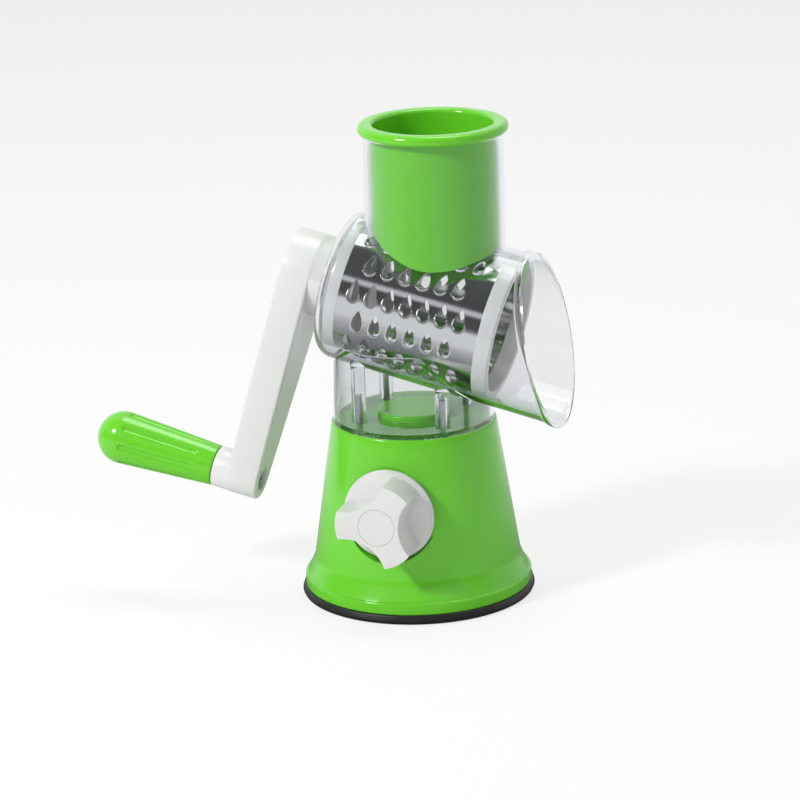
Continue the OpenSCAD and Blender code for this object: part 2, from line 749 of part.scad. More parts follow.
// White rear hub with a square socket and ribs
module drum_hub() color(white) difference() {
  union() {
    on_axis(-hub_rear_s) cylinder(r = sheet_rear_r, h = hub_rear_s - sheet_rear_s);
    on_axis(-sheet_rear_s - over)
      cylinder(r = sheet_rear_r - sheet_t - push_gap, h = hub_spigot_l + over);
  }
  difference() {
    on_axis(-hub_rear_s + hub_web_t)
      cylinder(r = sheet_rear_r - sheet_t - hub_web_t, h = reach);
    on_axis(-hub_rear_s) cylinder(r = hub_core_r, h = hub_core_l);
    for (i = [0:hub_ribs - 1]) on_axis(-hub_rear_s) rotate([0, 0, 360 / hub_ribs * i])
      translate([0, -hub_web_t / 2, 0])
        cube([sheet_rear_r, hub_web_t, hub_rear_s - sheet_rear_s + hub_web_t]);
  }
  on_axis(-hub_rear_s - over)
    block(shaft_sq + 2 * run_gap, shaft_sq + 2 * run_gap, hub_core_l - hub_web_t / 2 + over);
}

// White ring round the drum's front edge
module drum_ring() color(white) difference() {
  on_axis(ring_s) cylinder(r = ring_r, h = ring_w);
  on_axis(ring_s - over) cylinder(r = sheet_front_r - sheet_t - clear_wall, h = reach);
  difference() {
    sheet_solid(-push_gap, ring_s - over, ring_s + sheet_lap + push_gap);
    sheet_solid(sheet_t + push_gap, ring_s - over * 2, ring_s + sheet_lap + over);
  }
}

// Solid of the hollow under the pusher, along the drum
module saddle(inset) {
  on_axis(-reach) translate([saddle_drop, 0, 0]) cylinder(r = saddle_r + inset, h = 2 * reach);
}

// Green cup that presses the food onto the drum
module pusher() color(green) translate([chute_x, 0, 0]) difference() {
  union() {
    translate([0, 0, axis_h]) cylinder(r = pusher_r, h = pusher_top - axis_h);
    rotate_extrude() translate([0, chute_top]) union() {
      square([rim_r - rim_h / 2, rim_h]);
      translate([rim_r - rim_h / 2, rim_h / 2]) circle(r = rim_h / 2);
    }
  }
  translate([-chute_x, 0, 0]) saddle(0);
  difference() {
    translate([0, 0, axis_h]) cylinder(r = pusher_r - pusher_wall, h = reach);
    translate([-chute_x, 0, 0]) saddle(pusher_wall);
  }
}

base_shell();
base_plate();
base_plate_screws();
suction_cup();
cup_core();
rod_pin();
lift_rod();
cam_shaft();
knob();
knob_screw();
knob_cap();
housing();
housing_screws();
crank_arm();
drive_shaft();
shaft_screw();
grip();
grip_bolt();
grip_washer();
drum_shell();
drum_hub();
drum_ring();
pusher();
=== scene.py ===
import json
import math

import bpy
from bpy.props import FloatProperty, FloatVectorProperty, IntProperty, PointerProperty
from mathutils import Matrix, Vector


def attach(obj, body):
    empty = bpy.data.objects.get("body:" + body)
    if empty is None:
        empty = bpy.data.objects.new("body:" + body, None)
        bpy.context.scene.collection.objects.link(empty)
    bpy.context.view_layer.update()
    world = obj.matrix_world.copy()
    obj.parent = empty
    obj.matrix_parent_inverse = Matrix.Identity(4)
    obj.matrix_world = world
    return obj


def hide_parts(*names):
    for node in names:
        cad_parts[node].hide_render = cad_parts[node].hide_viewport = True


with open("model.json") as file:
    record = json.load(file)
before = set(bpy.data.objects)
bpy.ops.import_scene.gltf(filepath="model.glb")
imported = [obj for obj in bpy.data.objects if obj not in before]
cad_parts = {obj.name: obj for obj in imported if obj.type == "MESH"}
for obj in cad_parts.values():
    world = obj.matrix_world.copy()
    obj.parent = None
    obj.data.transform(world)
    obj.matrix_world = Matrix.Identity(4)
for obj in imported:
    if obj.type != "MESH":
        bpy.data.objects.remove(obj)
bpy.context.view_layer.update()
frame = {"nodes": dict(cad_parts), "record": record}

bl_info = {
    "name": "Rotary Shredder",
    "version": (1, 0, 0),
    "blender": (4, 5, 0),
    "location": "3D View > Sidebar > Shredder",
    "description": "Builds the looks of a hand-cranked rotary vegetable shredder round its packed model",
    "category": "Object",
}

# Number of faces round a large turned piece, and round a small one
ROUND = 192
SMALL_ROUND = 64
# Overrun of every cut
OVER = 0.001
# Side of the blocks and length of the cylinders that cut right through
REACH = 0.25
# Vertices closer than this are one
MERGE = 1e-6
# Longest stretch between the points of most turned outlines, and of the housing's
STRETCH = 0.004
LONG_STRETCH = 0.006


# Sizes and colours that a user would change

def length(name, description, default):
    return FloatProperty(name=name, description=description, default=default, unit="LENGTH", precision=5)


def turn(name, description, degrees):
    return FloatProperty(
        name=name, description=description, default=math.radians(degrees), subtype="ANGLE"
    )


def colour(name, description, default):
    return FloatVectorProperty(
        name=name, description=description, default=default, subtype="COLOR", size=3, min=0, max=1
    )


class BaseSizes(bpy.types.PropertyGroup):
    deck_height: length("Deck height", "Height of the deck above the table", 0.0856)
    top_radius: length("Top radius", "Radius of the base at the deck", 0.0394)
    cone_radius: length("Cone radius", "Radius of the cone where the foot flare ends", 0.0496)
    foot_radius: length("Foot radius", "Radius of the foot band", 0.0545)
    foot_height: length("Foot height", "Height of the foot band", 0.0056)
    flare_height: length("Flare height", "Height of the flare above the foot band", 0.008)
    step: length("Step", "Depth of the step above the foot band", 0.0012)
    wall: length("Wall", "Wall of the base", 0.0024)
    edge: length("Edge", "Rounding of the deck's edge", 0.0012)
    deck_thickness: length("Deck thickness", "Thickness of the deck", 0.0026)
    pedestal_radius: length("Pedestal radius", "Radius of the pedestal on the deck", 0.0176)
    pedestal_height: length("Pedestal height", "Height of the pedestal above the deck", 0.005)
    cup_radius: length("Cup radius", "Radius of the rubber cup", 0.0561)
    cup_height: length("Cup height", "Height of the rubber cup's rim", 0.0043)
    cup_skin: length("Cup skin", "Thickness of the rubber cup", 0.0026)


class KnobSizes(bpy.types.PropertyGroup):
    height: length("Height", "Height of the knob's axis", 0.0502)
    back: length("Back", "Distance from the base's axis to the knob's back", 0.042)
    face: length("Face", "Distance from the base's axis to the knob's face", 0.0633)
    skirt_radius: length("Skirt radius", "Radius of the skirt", 0.022)
    skirt_edge: length("Skirt edge", "Thickness of the skirt's edge", 0.0024)
    skirt_rise: length("Skirt rise", "Height of the skirt's dome", 0.0046)
    lobe_radius: length("Lobe radius", "Radius of the lobes' tips", 0.0202)
    scallop_floor: length("Scallop floor", "Radius at the bottom of the scallops", 0.0106)
    scallop_radius: length("Scallop radius", "Radius of each scallop", 0.0194)
    edge: length("Edge", "Rounding of the lobes' edges", 0.0022)
    cap_radius: length("Cap radius", "Radius of the cap in the face", 0.00875)
    pocket_gap: length("Pocket gap", "Gap round the knob in its pocket", 0.001)


class HousingSizes(bpy.types.PropertyGroup):
    axis_height: length("Axis height", "Height of the barrel's axis above the base's axis", 0.1428)
    tilt: turn("Tilt", "Slope of the barrel towards its mouth", 13.1)
    rear: length("Rear", "Distance from the base's axis to the barrel's rear face", 0.0371)
    barrel_radius: length("Barrel radius", "Outer radius of the barrel at its rear", 0.0363)
    barrel_growth: length("Barrel growth", "Growth of the radius from the rear to the mouth", 0.0012)
    barrel_round: length("Barrel round", "Radius of the barrel's rounded rear edge", 0.0074)
    wall: length("Wall", "Wall of the clear moulding", 0.002)
    mouth: length("Mouth", "Distance from the base's axis to the mouth's centre", 0.069)
    mouth_slant: turn("Mouth slant", "Slant of the mouth", 23.5)
    bead: length("Bead", "Height of the bead round the mouth", 0.0012)
    bead_width: length("Bead width", "Width of the bead round the mouth", 0.003)
    collar_radius: length("Collar radius", "Outer radius of the collar at the deck", 0.0387)
    collar_top_radius: length("Collar top radius", "Outer radius of the collar at the barrel", 0.037)
    boss_distance: length("Boss distance", "Distance of the bosses from the base's axis", 0.0288)
    boss_radius: length("Boss radius", "Radius of the clear bosses", 0.0034)
    chute_x: length("Chute place", "Distance of the chute's axis in front of the base's axis", 0.0135)
    chute_radius: length("Chute radius", "Outer radius of the chute", 0.0331)
    chute_top: length("Chute top", "Height of the chute's top", 0.225)
    sleeve_radius: length("Sleeve radius", "Radius of the sleeve behind the rear face", 0.012)
    sleeve_length: length("Sleeve length", "Length of the sleeve", 0.003)


class PusherSizes(bpy.types.PropertyGroup):
    gap: length("Gap", "Gap between the pusher and the chute", 0.001)
    wall: length("Wall", "Wall of the pusher", 0.002)
    rim_height: length("Rim height", "Height of the rim", 0.005)
    rim_radius: length("Rim radius", "Outer radius of the rim", 0.0354)
    saddle_radius: length("Saddle radius", "Radius of the hollow under the pusher", 0.0468)
    saddle_drop: length("Saddle drop", "Drop of the hollow's centre below the drum's axis", 0.01)


class DrumSizes(bpy.types.PropertyGroup):
    rear: length("Rear", "Distance from the base's axis to the sheet's rear edge", 0.027)
    ring: length("Ring", "Distance from the base's axis to the ring's rear edge", 0.0429)
    ring_width: length("Ring width", "Width of the front ring", 0.0076)
    ring_radius: length("Ring radius", "Outer radius of the front ring", 0.0343)
    rear_radius: length("Rear radius", "Outer radius of the sheet at its rear edge", 0.031)
    front_radius: length("Front radius", "Outer radius of the sheet at the ring", 0.0332)
    sheet: length("Sheet", "Thickness of the sheet", 0.0007)
    rows: IntProperty(name="Rows", description="Number of rows of teeth", default=14)
    row_teeth: IntProperty(name="Teeth in a row", description="Number of teeth in the longer rows", default=7)
    row_offset: turn("Row offset", "Turn of the first row above the knob's side", -10.4)
    rows_middle: length("Middle of the rows", "Distance from the base's axis to it", 0.00645)
    pitch: length("Pitch", "Spacing of the teeth along a row", 0.00878)
    tooth_radius: length("Tooth radius", "Radius of a tooth's round end", 0.0033)
    tooth_length: length("Tooth length", "Length of a tooth", 0.0122)
    tooth_height: length("Tooth height", "Height of a tooth above the sheet", 0.0015)
    tooth_tilt: turn("Tooth tilt", "Tilt of a tooth's lip", 9)
    tooth_lip: length("Tooth lip", "Width of a tooth's lip", 0.0006)
    tooth_foot: length("Tooth foot", "Spread of a tooth where it leaves the sheet", 0.0003)


class CrankSizes(bpy.types.PropertyGroup):
    reach: length("Reach", "Distance from the shaft to the grip's axis", 0.101)
    turn: turn("Turn", "Turn of the crank from straight down", 19.3)
    inner: length("Inner face", "Distance from the base's axis to the arm's inner face", 0.0455)
    thickness: length("Thickness", "Thickness of the arm", 0.0155)
    hub_radius: length("Hub radius", "Radius of the arm at the hub", 0.0198)
    hub_front: length("Hub front", "Distance from the base's axis to the hub's front face", 0.0375)
    end_radius: length("End radius", "Radius of the arm at the grip", 0.0101)
    wall: length("Wall", "Wall of the arm", 0.0022)
    hollow: length("Hollow", "Depth of the hollow in the arm's back", 0.012)
    edge: length("Edge", "Rounding of the arm's edges", 0.0012)
    journal_radius: length("Journal radius", "Radius of the shaft's journal", 0.0089)
    boss_length: length("Boss length", "Length of the arm's boss towards the grip", 0.0077)
    boss_radius: length("Boss radius", "Radius of the boss", 0.0098)
    bolt_radius: length("Bolt radius", "Radius of the grip's bolt", 0.003)
    recess_radius: length("Recess radius", "Radius of the recess for the bolt's head", 0.0056)
    recess_depth: length("Recess depth", "Depth of the recess for the bolt's head", 0.0048)


class GripSizes(bpy.types.PropertyGroup):
    start: length("Start", "Distance from the base's axis to the grip's start", 0.0691)
    length: length("Length", "Length of the grip", 0.061)
    radius: length("Radius", "Radius of the grip at the arm", 0.0098)
    tip_radius: length("Tip radius", "Radius of the grip at its tip", 0.01275)
    flutes: IntProperty(name="Flutes", description="Number of flutes", default=8)
    flute_radius: length("Flute radius", "Radius of each flute", 0.0022)
    flute_depth: length("Flute depth", "Depth of each flute", 0.0009)
    flute_start: length("Flute start", "Distance from the grip's start to the flutes", 0.0073)
    flute_length: length("Flute length", "Length of each flute", 0.0403)


class FinishColours(bpy.types.PropertyGroup):
    green: colour("Green", "Colour of the green plastic", (0.145, 0.60, 0.024))
    white: colour("White", "Colour of the white plastic", (0.72, 0.72, 0.71))
    clear: colour("Clear", "Colour of the clear plastic seen face on", (0.86, 0.87, 0.88))
    clear_edge: colour("Clear edge", "Colour of the clear plastic seen edge on", (0.50, 0.52, 0.57))
    steel: colour("Steel", "Colour of the polished sheet", (0.72, 0.72, 0.72))
    fastener: colour("Fastener", "Colour of the screws", (0.55, 0.55, 0.56))
    rubber: colour("Rubber", "Colour of the rubber", (0.009, 0.009, 0.010))


class StudioSettings(bpy.types.PropertyGroup):
    target: bpy.props.FloatVectorProperty(
        name="Target", description="Point that the camera looks at", default=(0, 0, 0.115), subtype="XYZ"
    )
    distance: length("Distance", "Distance from the target to the camera", 1.64)
    azimuth: turn("Azimuth", "Turn of the camera from the front towards the mouth", 17.7)
    elevation: turn("Elevation", "Rise of the camera", 15.95)
    roll: turn("Roll", "Roll of the camera about its own axis", 1.76)
    lens: FloatProperty(name="Lens", description="Focal length in millimetres", default=155.15)
    shift_x: FloatProperty(name="Shift X", description="Sideways shift of the picture", default=-0.0152)
    shift_y: FloatProperty(name="Shift Y", description="Upward shift of the picture", default=-0.0536)
    floor: length("Floor", "Half the side of the floor", 3.0)


class ShredderSettings(bpy.types.PropertyGroup):
    base: PointerProperty(type=BaseSizes)
    knob: PointerProperty(type=KnobSizes)
    housing: PointerProperty(type=HousingSizes)
    pusher: PointerProperty(type=PusherSizes)
    drum: PointerProperty(type=DrumSizes)
    crank: PointerProperty(type=CrankSizes)
    grip: PointerProperty(type=GripSizes)
    colours: PointerProperty(type=FinishColours)
    studio: PointerProperty(type=StudioSettings)


# Places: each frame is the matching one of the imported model

def settings():
    return bpy.context.scene.shredder


def shifted(x=0.0, y=0.0, z=0.0):
    return Matrix.Translation((x, y, z))


def on_axis(along=0.0):
    """The barrel's frame: +Z runs along the barrel to the mouth, +X points down."""
    housing = settings().housing
    tilt = Matrix.Rotation(math.radians(90) + housing.tilt, 4, "Y")
    return shifted(z=housing.axis_height) @ tilt @ shifted(z=along)


def on_knob(out=0.0):
    """The knob's frame: +Z points out of the knob's face, +Y up."""
    return shifted(z=settings().knob.height) @ Matrix.Rotation(math.radians(90), 4, "X") @ shifted(z=out)


def on_arm():
    """The arm's frame: on its rear face at the hub, +X towards the grip, +Z towards the barrel."""
    crank = settings().crank
    return on_axis(-crank.inner - crank.thickness) @ Matrix.Rotation(-crank.turn, 4, "Z")


def on_grip():
    """The grip's frame: on the grip's axis level with the base's axis, +Z to the rear."""
    crank = settings().crank
    turned_arm = on_axis() @ Matrix.Rotation(-crank.turn, 4, "Z")
    return turned_arm @ shifted(x=crank.reach) @ Matrix.Rotation(math.pi, 4, "X")


# Modelling helpers

def deselect_all():
    if bpy.context.mode != "OBJECT":
        bpy.ops.object.mode_set(mode="OBJECT")
    bpy.ops.object.select_all(action="DESELECT")


def activate(*pieces):
    deselect_all()
    for piece in pieces:
        piece.select_set(True)
    bpy.context.view_layer.objects.active = pieces[0]


def named(name):
    piece = bpy.context.active_object
    piece.name = name
    piece.data.name = name
    return piece


def edit(piece):
    """Opens a piece in edit mode with the whole of it selected."""
    activate(piece)
    bpy.ops.object.mode_set(mode="EDIT")
    bpy.ops.mesh.select_all(action="SELECT")


def leave_edit():
    bpy.ops.object.mode_set(mode="OBJECT")


def spread(count, start=0):
    """Rotations that spread copies evenly about Z, from a start in degrees."""
    return [Matrix.Rotation(math.radians(start + 360 / count * k), 4, "Z") for k in range(count)]


def tidy_mesh():
    """Merges doubles, turns all faces outwards and leaves edit mode."""
    bpy.ops.mesh.select_all(action="SELECT")
    bpy.ops.mesh.remove_doubles(threshold=MERGE)
    bpy.ops.mesh.normals_make_consistent(inside=False)
    leave_edit()


def rounded(corners, steps=6):
    """The outline through (x, y, radius) corners, with an arc of that radius at each."""
    outline = []
    for i, (x, y, radius) in enumerate(corners):
        corner = Vector((x, y))
        if not radius:
            outline.append((x, y))
            continue
        before = (Vector(corners[i - 1][:2]) - corner).normalized()
        after = (Vector(corners[(i + 1) % len(corners)][:2]) - corner).normalized()
        half = before.angle(after) / 2
        centre = corner + (before + after).normalized() * radius / math.sin(half)
        start = corner + before * radius / math.tan(half) - centre
        end = corner + after * radius / math.tan(half) - centre
        sweep = math.atan2(start.x * end.y - start.y * end.x, start.dot(end))
        for k in range(steps + 1):
            angle = sweep * k / steps
            outline.append((
                centre.x + start.x * math.cos(angle) - start.y * math.sin(angle),
                centre.y + start.x * math.sin(angle) + start.y * math.cos(angle),
            ))
    return outline


def spaced(outline, step=STRETCH):
    """The outline with points added, so that no stretch is longer than step."""
    result = [outline[0]]
    for (x0, y0), (x1, y1) in zip(outline, outline[1:]):
        count = max(1, math.ceil(math.hypot(x1 - x0, y1 - y0) / step))
        result += [(x0 + (x1 - x0) * k / count, y0 + (y1 - y0) * k / count) for k in range(1, count + 1)]
    return result


def drawn(outline):
    """Starts a mesh with one vertex and extrudes it along the outline of (x, y, z) points."""
    deselect_all()
    bpy.ops.mesh.primitive_plane_add(size=OVER)
    bpy.ops.object.mode_set(mode="EDIT")
    bpy.ops.mesh.select_all(action="SELECT")
    bpy.ops.mesh.merge(type="CENTER")
    bpy.ops.transform.translate(value=outline[0])
    for start, end in zip(outline, outline[1:]):
        step = Vector(end) - Vector(start)
        bpy.ops.mesh.extrude_vertices_move(TRANSFORM_OT_translate={"value": step})


def turned(name, outline, steps=ROUND):
    """A solid turned about Z from an outline of (radius, height) points."""
    drawn([(x, 0, z) for x, z in outline])
    bpy.ops.mesh.select_all(action="SELECT")
    bpy.ops.mesh.spin(steps=steps, angle=math.tau, center=(0, 0, 0), axis=(0, 0, 1))
    tidy_mesh()
    return named(name)


def rod(name, radius, low, high, steps=SMALL_ROUND, x=0.0):
    """A round rod along Z between two heights, as a tool for cutting or joining."""
    deselect_all()
    bpy.ops.mesh.primitive_cylinder_add(
        vertices=steps, radius=radius, depth=high - low, location=(x, 0, (low + high) / 2)
    )
    bpy.ops.object.transform_apply(location=True, rotation=True, scale=True)
    return named(name)


def at_bosses(name, radius, low, high):
    """A round rod on the axis of each of the four bosses."""
    distance = settings().housing.boss_distance
    return [placed(rod(name, radius, low, high, x=distance), quarter) for quarter in spread(4, 45)]


def block(name, size, low_centre):
    """A block of the given size, standing on a point, as a tool for cutting or joining."""
    deselect_all()
    bpy.ops.mesh.primitive_cube_add(size=1)
    bpy.ops.transform.resize(value=size)
    bpy.ops.transform.translate(value=Vector(low_centre) + Vector((0, 0, size[2] / 2)))
    bpy.ops.object.transform_apply(location=True, rotation=True, scale=True)
    return named(name)


def placed(piece, matrix):
    """Moves a piece by a matrix and leaves its object at the origin."""
    piece.matrix_world = matrix
    activate(piece)
    bpy.ops.object.transform_apply(location=True, rotation=True, scale=True)
    return piece


def copied(piece, matrix):
    """A copy of a piece with its own mesh, moved by a matrix."""
    copy = piece.copy()
    copy.data = piece.data.copy()
    bpy.context.collection.objects.link(copy)
    return placed(copy, matrix)


def joined(name, pieces):
    """Several separate solids as one object."""
    activate(*pieces)
    bpy.ops.object.join()
    return named(name)


def removed(piece):
    activate(piece)
    bpy.ops.object.delete()


def modified(piece, kind, **values):
    """The piece after a modifier with these settings."""
    activate(piece)
    bpy.ops.object.modifier_add(type=kind)
    step = piece.modifiers[-1]
    for name, value in values.items():
        setattr(step, name, value)
    bpy.ops.object.modifier_apply(modifier=step.name)
    return piece


def combined(piece, tools, operation):
    """The piece after a Boolean with each tool, which is used up."""
    for tool in tools:
        modified(piece, "BOOLEAN", object=tool, operation=operation, solver="EXACT")
        removed(tool)
    return piece


def cut(piece, *tools):
    return combined(piece, tools, "DIFFERENCE")


def fused(piece, *tools):
    return combined(piece, tools, "UNION")


def healed(piece):
    """Merges the near-double vertices that a Boolean leaves and drops its slivers."""
    edit(piece)
    bpy.ops.mesh.remove_doubles(threshold=2 * MERGE)
    bpy.ops.mesh.dissolve_degenerate(threshold=MERGE)
    leave_edit()
    return piece


def bisected(piece, point, normal):
    """Cuts off what lies beyond the plane, and closes the cut."""
    edit(piece)
    bpy.ops.mesh.bisect(plane_co=point, plane_no=normal, use_fill=True, clear_outer=True)
    leave_edit()
    return piece


def bevelled(piece, width, segments=3, sharper_than=40):
    """Rounds the edges that are sharper than the given angle in degrees."""
    return modified(
        piece, "BEVEL", width=width, segments=segments, limit_method="ANGLE",
        angle_limit=math.radians(sharper_than), use_clamp_overlap=True,
    )


def finished(piece, body, slot, *nodes, smooth=32):
    """Smooths a piece, gives it its slot's finish and ties it to the frame."""
    edit(piece)
    bpy.ops.mesh.remove_doubles(threshold=MERGE)
    leave_edit()
    bpy.ops.object.shade_smooth_by_angle(angle=math.radians(smooth))
    piece.data.materials.clear()
    piece.data.materials.append(finishes()[slot])
    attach(piece, body)
    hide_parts(*nodes)
    return piece


# Shader maths as Python expressions

class Field:
    """A value over a surface. Maths on it adds Math nodes to its tree."""

    def __init__(self, tree, socket=None):
        self.tree = tree
        self.socket = socket

    def node(self, kind, settings=None, inputs=None, output=0):
        """Adds a node with its settings and its sockets' values or links, and gives its output."""
        node = self.tree.nodes.new(kind)
        for name, value in (settings or {}).items():
            if name == "stops":
                ramp = node.color_ramp.elements
                while len(ramp) < len(value):
                    ramp.new(1.0)
                for stop, (position, level) in zip(ramp, value):
                    stop.position = position
                    stop.color = (level, level, level, 1.0)
            else:
                setattr(node, name, value)
        for name, value in (inputs or {}).items():
            if isinstance(value, Field):
                self.tree.links.new(value.socket, node.inputs[name])
            else:
                node.inputs[name].default_value = value
        return Field(self.tree, node.outputs[output])

    def maths(self, operation, *values):
        return self.node("ShaderNodeMath", {"operation": operation}, dict(enumerate(values)))

    def __add__(self, other):
        return self.maths("ADD", self, other)

    def __radd__(self, other):
        return self.maths("ADD", other, self)

    def __sub__(self, other):
        return self.maths("SUBTRACT", self, other)

    def __rsub__(self, other):
        return self.maths("SUBTRACT", other, self)

    def __mul__(self, other):
        return self.maths("MULTIPLY", self, other)

    def __rmul__(self, other):
        return self.maths("MULTIPLY", other, self)

    def __pow__(self, other):
        return self.maths("POWER", self, other)


def emptied(owner):
    """The emptied node tree of a material or world, as a Field to build on."""
    owner.use_nodes = True
    owner.node_tree.nodes.clear()
    return Field(owner.node_tree)


def material(name):
    made = bpy.data.materials.new(name)
    return made, emptied(made)


def surface(tree, shader, kind="ShaderNodeOutputMaterial"):
    """Ends a tree with its shader."""
    output = tree.tree.nodes.new(kind)
    tree.tree.links.new(shader.socket, output.inputs["Surface"])


def glossy(tree, **inputs):
    """Ends a tree with a Principled shader. Its inputs' names are written with underscores."""
    named_inputs = {name.replace("_", " "): value for name, value in inputs.items()}
    surface(tree, tree.node("ShaderNodeBsdfPrincipled", {}, named_inputs))


def places(tree):
    """The place on the object, in metres."""
    return tree.node("ShaderNodeTexCoord", output=3)


def rays(tree):
    """The kinds of ray that can meet a surface, by name."""
    node = tree.node("ShaderNodeLightPath").socket.node
    return {output.name: Field(tree.tree, output) for output in node.outputs}


def eye_rays(tree):
    """The rays that the eye follows, directly or through glass, and those off glossy surfaces."""
    ray = rays(tree)
    seen = tree.maths("MAXIMUM", ray["Is Camera Ray"], ray["Is Transmission Ray"])
    return seen, ray["Is Glossy Ray"] * (1 - seen)


def stretched(tree, scale, tilt=0):
    """The place on the object, tilted about Y and with each axis scaled by itself."""
    return tree.node(
        "ShaderNodeMapping", {}, {"Vector": places(tree), "Rotation": (0, tilt, 0), "Scale": scale}
    )


def noise(tree, where, scale, detail=2.0, roughness=0.5):
    return tree.node(
        "ShaderNodeTexNoise", {}, {"Vector": where, "Scale": scale, "Detail": detail, "Roughness": roughness}
    )


def between(tree, share, first, second):
    """The colour at a share of the way between two colours."""
    return tree.node("ShaderNodeMix", {"data_type": "RGBA"}, {0: share, 6: first, 7: second}, output=2)


def shade(rgb, factor=1.0):
    """A colour made lighter or darker, with full opacity."""
    return tuple(min(1.0, c * factor) for c in rgb) + (1.0,)


def drifting(tree, share, rgb, darkest, lightest):
    """A colour that drifts between a darker and a lighter shade."""
    return between(tree, share, shade(rgb, darkest), shade(rgb, lightest))


def bumped(tree, height, distance):
    return tree.node("ShaderNodeBump", {}, {"Height": height, "Distance": distance})


def moulded_plastic(name, rgb, roughness, ripple):
    """Glossy moulded plastic: a faint ripple in the gloss, fine grain and small shifts of colour."""
    made, tree = material(name)
    where = places(tree)
    drift = noise(tree, where, 18.0)
    grain = noise(tree, where, 900.0, 3.0)
    waves = noise(tree, where, 70.0, 1.0)
    glossy(
        tree,
        Base_Color=drifting(tree, drift, rgb, 0.94, 1.05),
        Roughness=roughness + 0.03 * grain + 0.05 * drift,
        Normal=bumped(tree, waves * ripple + grain * (ripple * 0.012), 0.001),
        IOR=1.5,
    )
    return made


def clear_plastic(name, face, edge):
    """Clear moulded plastic: glass to the eye, open to light, and darker where it is seen edge on."""
    made, tree = material(name)
    waves = noise(tree, places(tree), 45.0, 1.0)
    scuffs = noise(tree, stretched(tree, (220.0, 220.0, 900.0)), 1.0, 4.0)
    facing = tree.node("ShaderNodeLayerWeight", {}, {"Blend": 0.5}, output=1)
    glass = tree.node("ShaderNodeBsdfPrincipled", {}, {
        "Base Color": between(tree, facing ** 2.0, shade(face), shade(edge)),
        "Roughness": 0.02 + 0.03 * scuffs,
        "Normal": bumped(tree, waves, 0.0002),
        "IOR": 1.49,
        "Specular Tint": shade((0.35, 0.35, 0.35)),
        "Transmission Weight": 1.0,
    })
    open_to_light = tree.node("ShaderNodeBsdfTransparent", {}, {"Color": shade(face, 1.1)})
    ray = rays(tree)
    reflected = ray["Is Glossy Ray"] * (1 - ray["Is Transmission Ray"])
    light_ray = tree.maths("MAXIMUM", ray["Is Shadow Ray"], ray["Is Diffuse Ray"])
    light_ray = tree.maths("MAXIMUM", light_ray, reflected)
    surface(tree, tree.node("ShaderNodeMixShader", {}, {0: light_ray, 1: glass, 2: open_to_light}))
    return made


def polished_sheet(name, rgb):
    """Polished stainless sheet with fine rolling marks round the drum."""
    made, tree = material(name)
    marks = noise(tree, stretched(tree, (2600.0, 60.0, 60.0), settings().housing.tilt), 1.0, 3.0)
    clouds = noise(tree, places(tree), 60.0, 2.0)
    glossy(
        tree,
        Base_Color=drifting(tree, clouds, rgb, 0.93, 1.04),
        Metallic=1.0,
        Roughness=0.05 + 0.07 * marks + 0.04 * clouds,
        Normal=bumped(tree, marks * 0.5 + clouds, 0.00003),
    )
    return made


def plated_steel(name, rgb):
    """Plated steel of the screws, pins and rods."""
    made, tree = material(name)
    clouds = noise(tree, places(tree), 240.0, 3.0)
    glossy(
        tree,
        Base_Color=drifting(tree, clouds, rgb, 0.85, 1.1),
        Metallic=1.0,
        Roughness=0.24 + 0.2 * clouds,
        Normal=bumped(tree, clouds, 0.00005),
    )
    return made


def soft_rubber(name, rgb):
    """Smooth black rubber with a dull bloom."""
    made, tree = material(name)
    where = places(tree)
    bloom = noise(tree, where, 90.0, 4.0)
    grain = noise(tree, where, 1500.0, 2.0)
    glossy(
        tree,
        Base_Color=drifting(tree, bloom, rgb, 0.8, 1.9),
        Roughness=0.36 + 0.16 * bloom,
        Normal=bumped(tree, grain, 0.00008),
    )
    return made


def finishes():
    """The materials by slot, made once."""
    colours = settings().colours
    makers = {
        "green": ("green_plastic", moulded_plastic, colours.green, 0.13, 0.10),
        "white": ("white_plastic", moulded_plastic, colours.white, 0.22, 0.08),
        "clear": ("clear_plastic", clear_plastic, colours.clear, colours.clear_edge),
        "steel": ("polished_sheet", polished_sheet, colours.steel),
        "fastener": ("plated_steel", plated_steel, colours.fastener),
        "rubber": ("soft_rubber", soft_rubber, colours.rubber),
    }
    return {
        slot: bpy.data.materials.get(name) or make(name, *values)
        for slot, (name, make, *values) in makers.items()
    }


# Pieces

